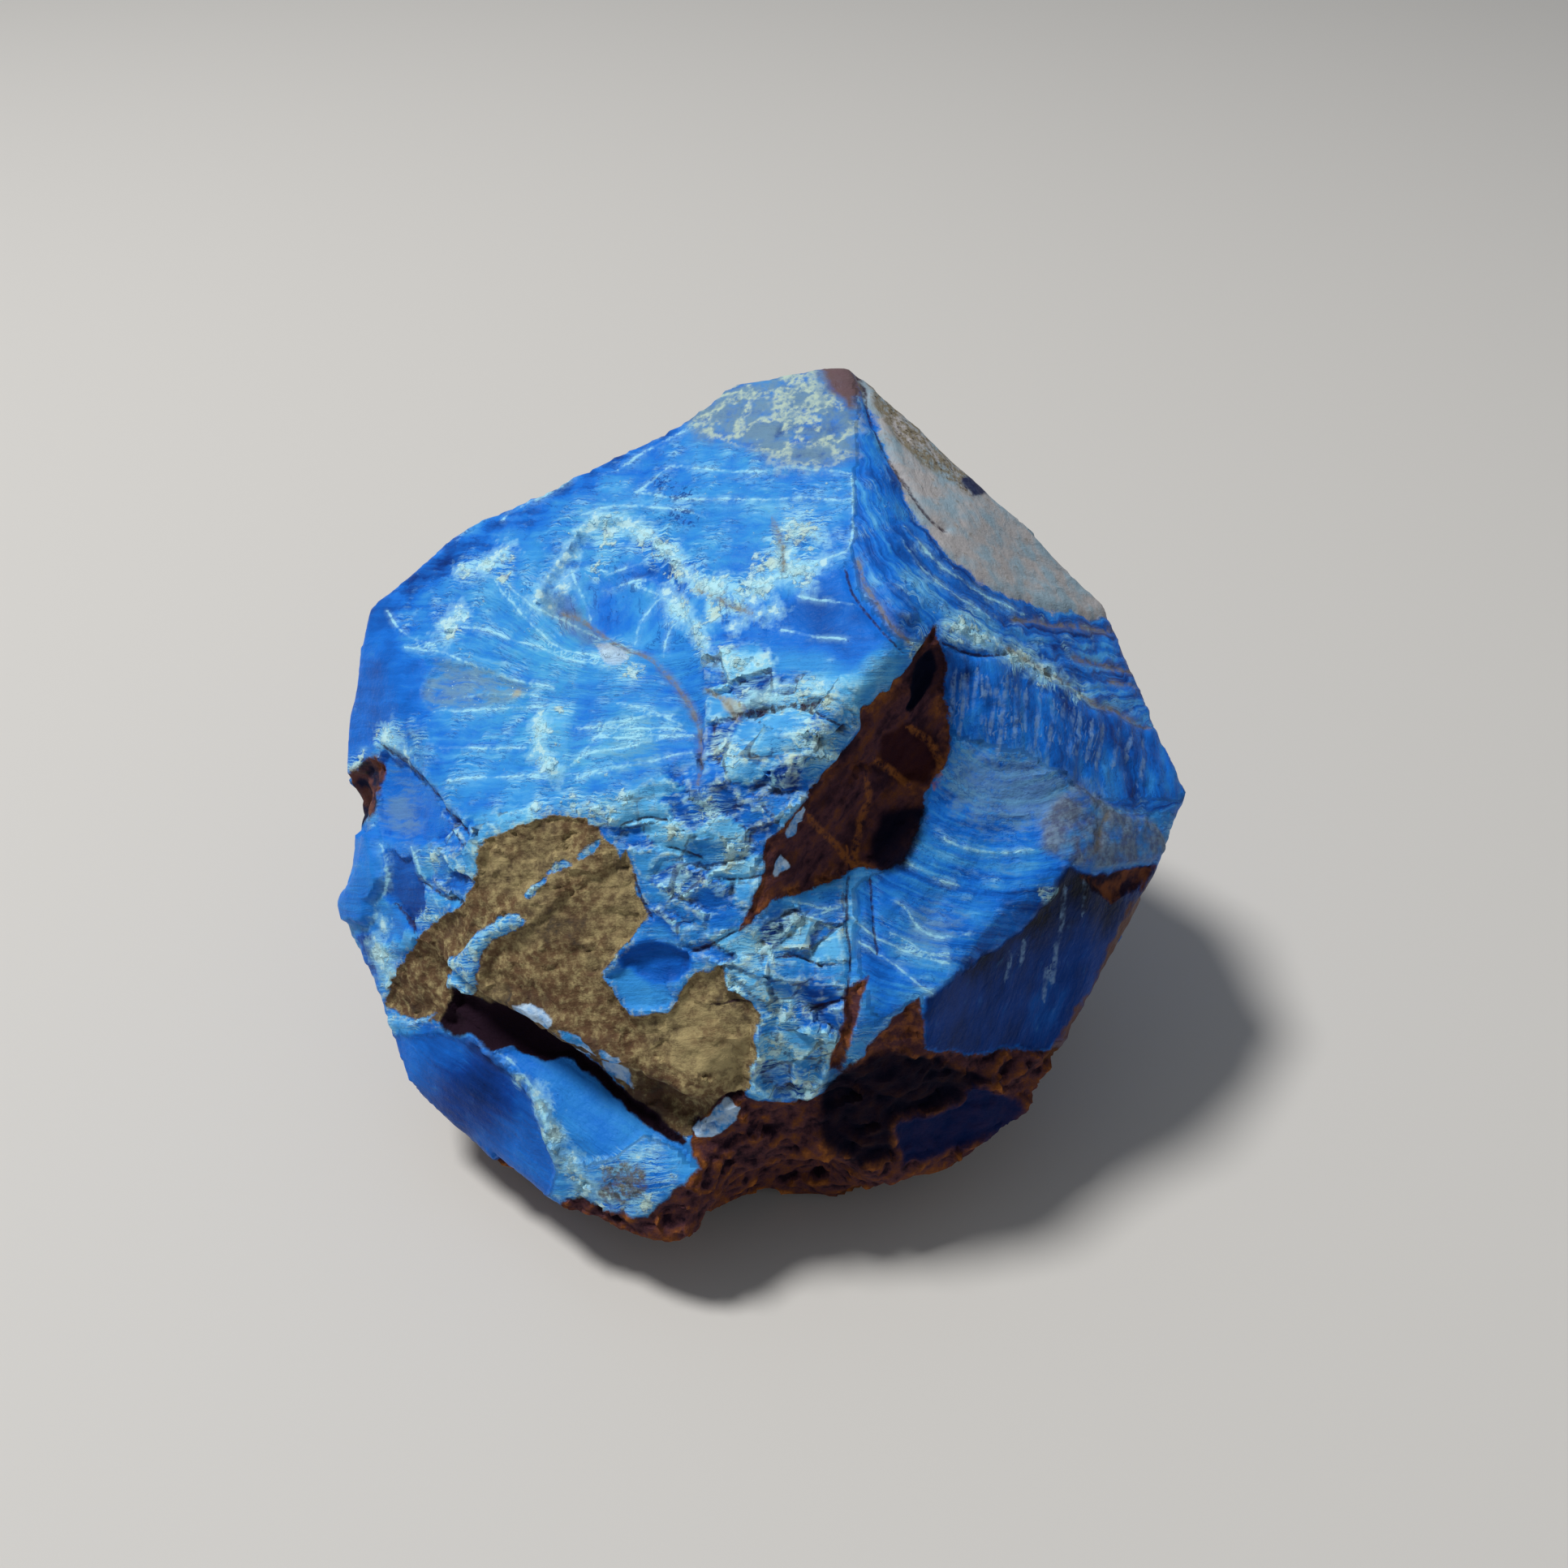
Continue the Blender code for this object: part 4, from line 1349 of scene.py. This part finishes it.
def broken_edges(paint, colours):
    """Painted highlights and shade: pale where the skin stands out and where chips end, partly pale crumbs;
    dark in the creases and in the gaps between chips.
    """
    patch, standing_here = paint.patch, paint.wear
    # Painted highlight: pale on edges that stand out and on chip rims, partly pale crumbs.
    chipped = standing_here.ease(0.02, 0.10) * (paint.crumbly * 0.8 + paint.pale * 0.5)
    chipped = chipped + paint.field("chip_rim") * paint.smear.ease(0.42, 0.6)
    paint.lay(chipped * paint.ragged * 0.65, patch.ease(0.4, 0.6).over(colours.pale, paint.cream))
    # Painted shade: dark in the creases.
    seam = standing_here.ease(-0.05, -0.14) * (paint.crumbly + 0.25) * patch.ease(0.45, 0.62)
    paint.lay(seam * 0.6, colours.seam)
    # Painted shade: dark in the gaps between chips.
    gap_shade = (paint.field("chip_gap") + paint.fine.swing(0.8)).ease(0.45, 0.75) * paint.cloud.ease(0.40, 0.55)
    paint.lay(gap_shade * 0.55, colours.seam)
    speck = paint.dust.ease(0.64, 0.70) * patch.ease(0.54, 0.64)
    paint.lay(speck * 0.7, colours.dark)


def grey_plate(paint, colours):
    """The mottled top, the smooth plate with its tan rim, and the grey patches, with painted glints in one
    of them.
    """
    patch, fine, dust = paint.patch, paint.fine, paint.dust
    mottled = paint.region("mottled", 16.0)
    curl = abs(paint.grit(9, 3.0, 0.6, 31.0) - 0.5 + fine.swing(0.12)).ease(0.07, 0.01)
    paint.lay(mottled * (patch + fine * 0.5).ease(0.40, 0.85) * 0.9, colours.haze)
    paint.lay(mottled * curl * paint.ragged * 0.75, colours.cream)
    clouded = patch + paint.cloud - 0.5
    stony = clouded.ease(0.35, 0.7).over(colours.plate, colours.plate_blue)
    paint.lay(paint.plate, (fine.ease(0.58, 0.68) * 0.4).over(stony, colours.tan))
    rim = paint.region("plate_rim", 4.0)
    paint.lay(rim * paint.ragged, colours.tan)
    paint.lay(rim * dust.ease(0.55, 0.65) * 0.8, colours.pit_deep)
    paint.lay(paint.region("grey", 6.0) * (paint.smear + patch * 0.5).ease(0.5, 0.9) * 0.75, colours.haze)
    # Painted glints: tiny white specks in the sparkling grey patch.
    paint.lay(paint.region("grey", 3.0) * dust.ease(0.66, 0.70), colours.crumb)
    slate = (fine.ease(0.4, 0.65) * 0.5).over(colours.slate, colours.plate_blue)
    paint.lay(paint.region("slate", 8.0) * clouded.ease(0.25, 0.6) * 0.8, slate)


def small_stains(paint, colours):
    """Single spots of other colours, painted shade on the shallow shell's left wall, and the tan bands."""
    paint.lay(paint.region("lump", 3.0) * 0.8, colours.lump)
    paint.lay(paint.region("summit", 8.0) * 0.95, colours.mauve)
    paint.lay(paint.region("navy", 3.0, 0.6) * 0.9, colours.deep)
    # Painted shade: mauve on the shallow shell's left wall.
    paint.lay(paint.region("mauve", 9.0) * 0.35, colours.mauve)
    speckles = (paint.fine + paint.dust - 0.5).ease(0.5, 0.62)
    paint.lay(paint.region("speckled", 6.0) * speckles * 0.8, colours.dark)
    valley = paint.field("tan_near").ease(10, 1) * paint.patch.ease(0.35, 0.55)
    paint.lay(valley * 0.4, colours.tan)
    paint.lay(paint.region("yellow", 3.0, 0.4) * 0.55, colours.yellow)
    paint.lay(paint.line("tan", 4.0) * paint.ragged * 0.65, colours.tan)


def rind_coat(paint, colours):
    """Olive-brown fibrous rind, stained red in places, with a cream edge."""
    fibre, cloud = paint.fibre, paint.cloud
    tone = fibre * 0.75 + paint.coarse * 0.45 + cloud * 0.3 - 0.14 + paint.field("rind_tone") * 0.6
    stops = ((0.37, colours.rind_dark), (0.54, colours.rind), (0.74, colours.rind_light))
    paint.lay(paint.rind_depth.ease(-10, -2) * paint.fine.ease(0.48, 0.66) * 0.5, colours.cream)
    stained = (cloud + paint.field("rind_stain") * 0.3).ease(0.42, 0.66) * fibre.ease(0.66, 0.42)
    paint.lay(paint.rind, (stained * 0.65).over(paint.ramp(tone, stops), colours.rind_red))


def crust_coat(paint, colours):
    """Brown and orange crust round the foot, lighter on its knobs and darker in its hollows as painted
    light and shade, and black and deep blue painted as shade where the foot turns under.
    """
    stops = ((0.36, colours.pit_deep), (0.50, colours.pit), (0.64, colours.crust), (0.80, colours.rust))
    # Painted light and shade: the crust is lighter where it stands out and darker in its hollows.
    paint.lay(paint.crust, paint.ramp(paint.grit(3.4, 5.0, 0.65, 17.0) + paint.wear * 0.8, stops))
    rusty = (paint.coarse.ease(0.40, 0.65) * 0.6).over(colours.pit, colours.rust)
    paint.lay(paint.region("wedge", 2.5), rusty)
    paint.lay(paint.region("amber", 2.5) * 0.9, colours.amber)
    # Painted shade: black and deep blue where the foot turns under.
    paint.lay(paint.region("foot_dark", 8.0) * 0.9, colours.ink)
    paint.lay(paint.region("foot_blue", 5.0) * 0.9, colours.deep)


def pit_shadow(paint, colours):
    """Painted shadow in the pit: maroon-brown where the ridge's shadow falls, rusty at its edge and along
    its lines, black in its eye and in the shade beside it.
    """
    patch, fine, cloud, pit = paint.patch, paint.fine, paint.cloud, paint.pit
    lining = paint.streaks(16, 70, 4.0, 23.0)
    stops = ((0.38, colours.pit_deep), (0.52, colours.pit), (0.66, colours.crust))
    # Painted shadow: the ridge's shadow in the pit, in maroon-brown.
    paint.lay(pit, paint.ramp(lining * 0.7 + fine * 0.35, stops))
    edge = paint.field("pit").ease(20, 1) * pit * patch.ease(0.35, 0.6)
    rusty = fine.ease(0.40, 0.62).over(colours.crust, colours.rust)
    paint.lay(edge * (cloud.ease(0.42, 0.58) + 0.2) * 0.8, rusty)
    paint.lay(pit * cloud.ease(0.50, 0.36) * 0.75, colours.pit_deep)
    paint.lay(paint.region("pit_spot", 5.0, 0.5) * 0.85, colours.maroon)
    # Painted shadow: black in the shade beside the pit and in its eye.
    paint.lay((paint.field("pit_shade") + 7 + paint.frayed).ease(-8, 6) * 0.95, colours.ink)
    paint.lay(paint.region("pit_eye", 2.0, 0.2), colours.ink)
    paint.lay(paint.line("rust", 7.0) * paint.ragged * 0.6, colours.rust)


def hollows_and_slivers(paint, colours):
    """The groove, painted dark as shadow, the dark notches, the bright slivers beside them, the olive stain
    and the cracks.
    """
    patch, fine = paint.patch, paint.fine
    # Painted shadow: the groove under the lip is painted dark brown.
    paint.lay(paint.groove, colours.pit_deep)
    bright = paint.broken.ease(0.38, 0.58).over(colours.bright, colours.lump)
    paint.lay(paint.region("sliver", 1.2, 0.4), bright)
    paint.lay(paint.notch * 0.95, patch.ease(0.40, 0.62).over(colours.pit_deep, colours.crust))
    olive = paint.region("olive", 5.0)
    paint.lay(olive * paint.ragged * 0.8, colours.rind)
    paint.lay(olive * paint.coarse.ease(0.48, 0.38) * 0.7, colours.rind_dark)
    paint.lay(paint.line("crack", 2.4) * fine.ease(0.3, 0.55) * 0.8, colours.seam)


def gloss_and_grain(paint):
    """How rough the stone is, and its bump: both stronger where it is brown."""
    earthy = paint.rind + paint.crust + paint.pit + paint.groove + paint.notch
    earthy = earthy.math("MINIMUM", earthy, 1.0)
    roughness = 0.42 + paint.fine.swing(0.25) + paint.crumb * 0.2 + paint.plate * 0.15 + earthy * 0.45
    height = paint.thread * 0.5 + paint.smear * 0.5 + paint.fine * 0.55 + paint.coarse * 0.6
    height = height + paint.patch * 0.5 + paint.crumb * 0.5 + paint.dust * 0.12 + earthy * paint.fibre * 1.2
    strength, depth = BUMP
    bump = paint.pen.node("Bump", feeds={"Strength": strength, "Distance": depth, "Height": height})
    return roughness, bump


COATS = (
    blue_bands, pale_veins, broken_edges, grey_plate, small_stains, rind_coat, crust_coat, pit_shadow,
    hollows_and_slivers,
)


def stone_finish(colours):
    """Banded blue glass with pale veins and crumbs, under brown rind, crust and grey plates."""
    material = bpy.data.materials.new("banded_blue_stone")
    material.use_nodes = True
    tree = material.node_tree
    paint = Paint(tree, colours)
    for coat in COATS:
        coat(paint, colours)
    roughness, bump = gloss_and_grain(paint)
    shader = tree.nodes["Principled BSDF"]
    for name, wire in (("Base Color", paint.colour), ("Roughness", roughness), ("Normal", bump)):
        tree.links.new(wire.socket, shader.inputs[name])
    shader.inputs["IOR"].default_value = IOR
    shader.inputs["Specular Tint"].default_value = colours.sheen
    return material


# ---------------------------------------------------------------- the stage


def aimed(thing, target):
    thing.rotation_euler = (Vector(target) - thing.location).to_track_quat("-Z", "Y").to_euler()


def soft_light(name, place, size, watts, colour):
    """A round lamp that shines at the stone."""
    lamp = bpy.data.lights.new(name, "AREA")
    lamp.shape = "DISK"
    lamp.size = size
    lamp.energy = watts
    lamp.color = colour
    thing = bpy.data.objects.new(name, lamp)
    bpy.context.scene.collection.objects.link(thing)
    thing.location = place
    aimed(thing, MIDDLE)


def plain_finish(name, colour, roughness):
    material = bpy.data.materials.new(name)
    material.use_nodes = True
    shader = material.node_tree.nodes["Principled BSDF"]
    shader.inputs["Base Color"].default_value = colour
    shader.inputs["Roughness"].default_value = roughness
    return material


class STONE_OT_stage(bpy.types.Operator):
    """Lays the pale floor and sets the soft lights, the sky and the camera"""

    bl_idname = "blue_stone.stage"
    bl_label = "Stage"

    def execute(self, context):
        stage = context.scene.blue_stone_stage
        bpy.ops.object.select_all(action="DESELECT")
        bpy.ops.mesh.primitive_plane_add(size=stage.floor_size)
        floor = context.object
        floor.name = "floor"
        floor.data.materials.append(plain_finish("pale_floor", stage.floor_colour, FLOOR_ROUGHNESS))

        key_place = Vector(KEY_TOWARDS).normalized() * KEY_FAR + Vector(MIDDLE)
        soft_light("key", key_place, KEY_SIZE, stage.key_watts, KEY_COLOUR)
        soft_light("fill", FILL_PLACE, FILL_SIZE, stage.fill_watts, FILL_COLOUR)
        world = bpy.data.worlds.new("pale_sky")
        context.scene.world = world
        world.use_nodes = True
        sky = world.node_tree.nodes["Background"]
        sky.inputs["Color"].default_value = stage.sky_colour
        sky.inputs["Strength"].default_value = stage.sky_strength

        lens = bpy.data.cameras.new("eye")
        lens.lens = LENS
        lens.sensor_width = LENS
        lens.clip_start = NEAREST
        camera = bpy.data.objects.new("eye", lens)
        context.scene.collection.objects.link(camera)
        camera.location = EYE
        camera.rotation_euler = (math.radians(90) - EYE_DOWN, 0, 0)
        context.scene.camera = camera
        context.scene.view_settings.view_transform = "Standard"
        return {"FINISHED"}


# ---------------------------------------------------------------- settings, panel, making


def colour_setting(name, description, default):
    return bpy.props.FloatVectorProperty(
        name=name, description=description, default=(*default, 1.0), size=4, min=0, max=1, subtype="COLOR"
    )


def number_setting(name, description, default, unit="NONE"):
    return bpy.props.FloatProperty(name=name, description=description, default=default, unit=unit)


class StoneSettings(bpy.types.PropertyGroup):
    grain: number_setting("Grain", "Side of a face where the eye does not see the skin", 1.6 * MM, "LENGTH")
    relief: number_setting("Relief", "Share of the chisel's full depth", 1.0)
    # Also painted shade low on the foot.
    deep: colour_setting("Deep blue", "Thick clear stone", (0.002, 0.012, 0.075))
    dark: colour_setting("Dark blue", "Dark bands", (0.004, 0.045, 0.27))
    blue: colour_setting("Blue", "Clear bright stone", (0.010, 0.165, 0.70))
    bright: colour_setting("Bright blue", "Most of the bright face", (0.040, 0.30, 0.76))
    sky: colour_setting("Sky blue", "The lightest bands", (0.12, 0.49, 0.88))
    teal: colour_setting("Teal", "Greener clouds in the bright face", (0.085, 0.43, 0.66))
    # Also painted sheen streaks, and painted highlights on edges that stand out.
    pale: colour_setting("Pale veins", "Cyan-white veins", (0.38, 0.78, 0.95))
    # Also painted glints in the grey patch.
    crumb: colour_setting("Crumbs", "Crumbs, nearly white", (0.54, 0.82, 0.86))
    cream: colour_setting("Cream crumbs", "Greenish cream crumbs and edges", (0.56, 0.70, 0.54))
    stroke: colour_setting("Strokes", "Pale strokes in the shaded wall", (0.24, 0.42, 0.68))
    haze: colour_setting("Haze", "Grey-blue smears", (0.16, 0.29, 0.41))
    # Purple-brown cracks, and also painted shade in creases and in the gaps between chips.
    seam: colour_setting("Seams", "Purple-brown cracks and crevices", (0.030, 0.012, 0.030))
    plate: colour_setting("Plate", "The smooth grey plate", (0.43, 0.42, 0.43))
    plate_blue: colour_setting("Plate blue", "Bluer clouds in the plate", (0.29, 0.41, 0.50))
    slate: colour_setting("Slate", "The grey patch beside the corner", (0.105, 0.10, 0.13))
    lump: colour_setting("Lump", "A smooth lavender-white lump", (0.50, 0.68, 0.88))
    yellow: colour_setting("Yellow", "A yellow speck and a cream chip", (0.52, 0.46, 0.22))
    tan: colour_setting("Tan", "Thin tan bands and rims", (0.22, 0.19, 0.13))
    # Also painted shade on the shallow shell's left wall.
    mauve: colour_setting("Mauve", "The stained summit", (0.15, 0.085, 0.07))
    rind: colour_setting("Rind", "Olive-brown rind", (0.155, 0.112, 0.060))
    rind_dark: colour_setting("Dark rind", "Dark spots of the rind", (0.050, 0.048, 0.044))
    rind_red: colour_setting("Red rind", "Redder stains in the rind", (0.12, 0.055, 0.028))
    rind_light: colour_setting("Light rind", "Light fibres of the rind", (0.42, 0.335, 0.165))
    # The pit's maroon-brown is painted shadow; this brown is also in the crust and the wedge.
    pit: colour_setting("Pit", "Maroon-brown lining of the pit", (0.090, 0.034, 0.040))
    maroon: colour_setting("Maroon", "The round dark spot in the pit", (0.030, 0.006, 0.007))
    # Also painted shadow in the pit and in the groove.
    pit_deep: colour_setting("Deep pit", "Darkest brown", (0.018, 0.007, 0.013))
    crust: colour_setting("Crust", "Brown crust", (0.17, 0.055, 0.018))
    rust: colour_setting("Rust", "Orange in the crust", (0.38, 0.13, 0.028))
    amber: colour_setting("Amber", "The brown strip along the lower edge", (0.125, 0.052, 0.025))
    # Also painted shade: beside the pit, in its eye, and under the foot.
    ink: colour_setting("Ink", "The darkest hollows and the thickest stone", (0.002, 0.002, 0.010))
    sheen: colour_setting("Sheen", "Tint of the stone's shine", (0.35, 0.60, 1.0))


class StageSettings(bpy.types.PropertyGroup):
    floor_size: number_setting("Floor", "Side of the floor", 6.0, "LENGTH")
    floor_colour: colour_setting("Floor colour", "Pale matt floor", (0.62, 0.61, 0.59))
    sky_colour: colour_setting("Sky", "Soft light from all round", (0.90, 0.94, 1.0))
    sky_strength: number_setting("Sky strength", "Brightness of the sky", 0.2)
    key_watts: number_setting("Key", "Power of the key light", 36.0, "POWER")
    fill_watts: number_setting("Fill", "Power of the fill light", 0.5, "POWER")


class VIEW3D_PT_blue_stone(bpy.types.Panel):
    """The settings and the makers of the stone"""

    bl_label = "Rough Blue Stone"
    bl_space_type = "VIEW_3D"
    bl_region_type = "UI"
    bl_category = "Blue Stone"

    def draw(self, context):
        for settings in (context.scene.blue_stone, context.scene.blue_stone_stage):
            for name in settings.bl_rna.properties.keys():
                if name not in ("name", "rna_type"):
                    self.layout.prop(settings, name)
        for maker in MAKERS:
            self.layout.operator(maker.bl_idname)


MAKERS = (STONE_OT_skin, STONE_OT_stage)
CLASSES = (StoneSettings, StageSettings, *MAKERS, VIEW3D_PT_blue_stone)


def register():
    for kind in CLASSES:
        bpy.utils.register_class(kind)
    bpy.types.Scene.blue_stone = bpy.props.PointerProperty(type=StoneSettings)
    bpy.types.Scene.blue_stone_stage = bpy.props.PointerProperty(type=StageSettings)


def unregister():
    del bpy.types.Scene.blue_stone_stage
    del bpy.types.Scene.blue_stone
    for kind in reversed(CLASSES):
        bpy.utils.unregister_class(kind)


def main():
    register()
    bpy.ops.blue_stone.skin()
    bpy.ops.blue_stone.stage()


if __name__ == "__main__":
    main()
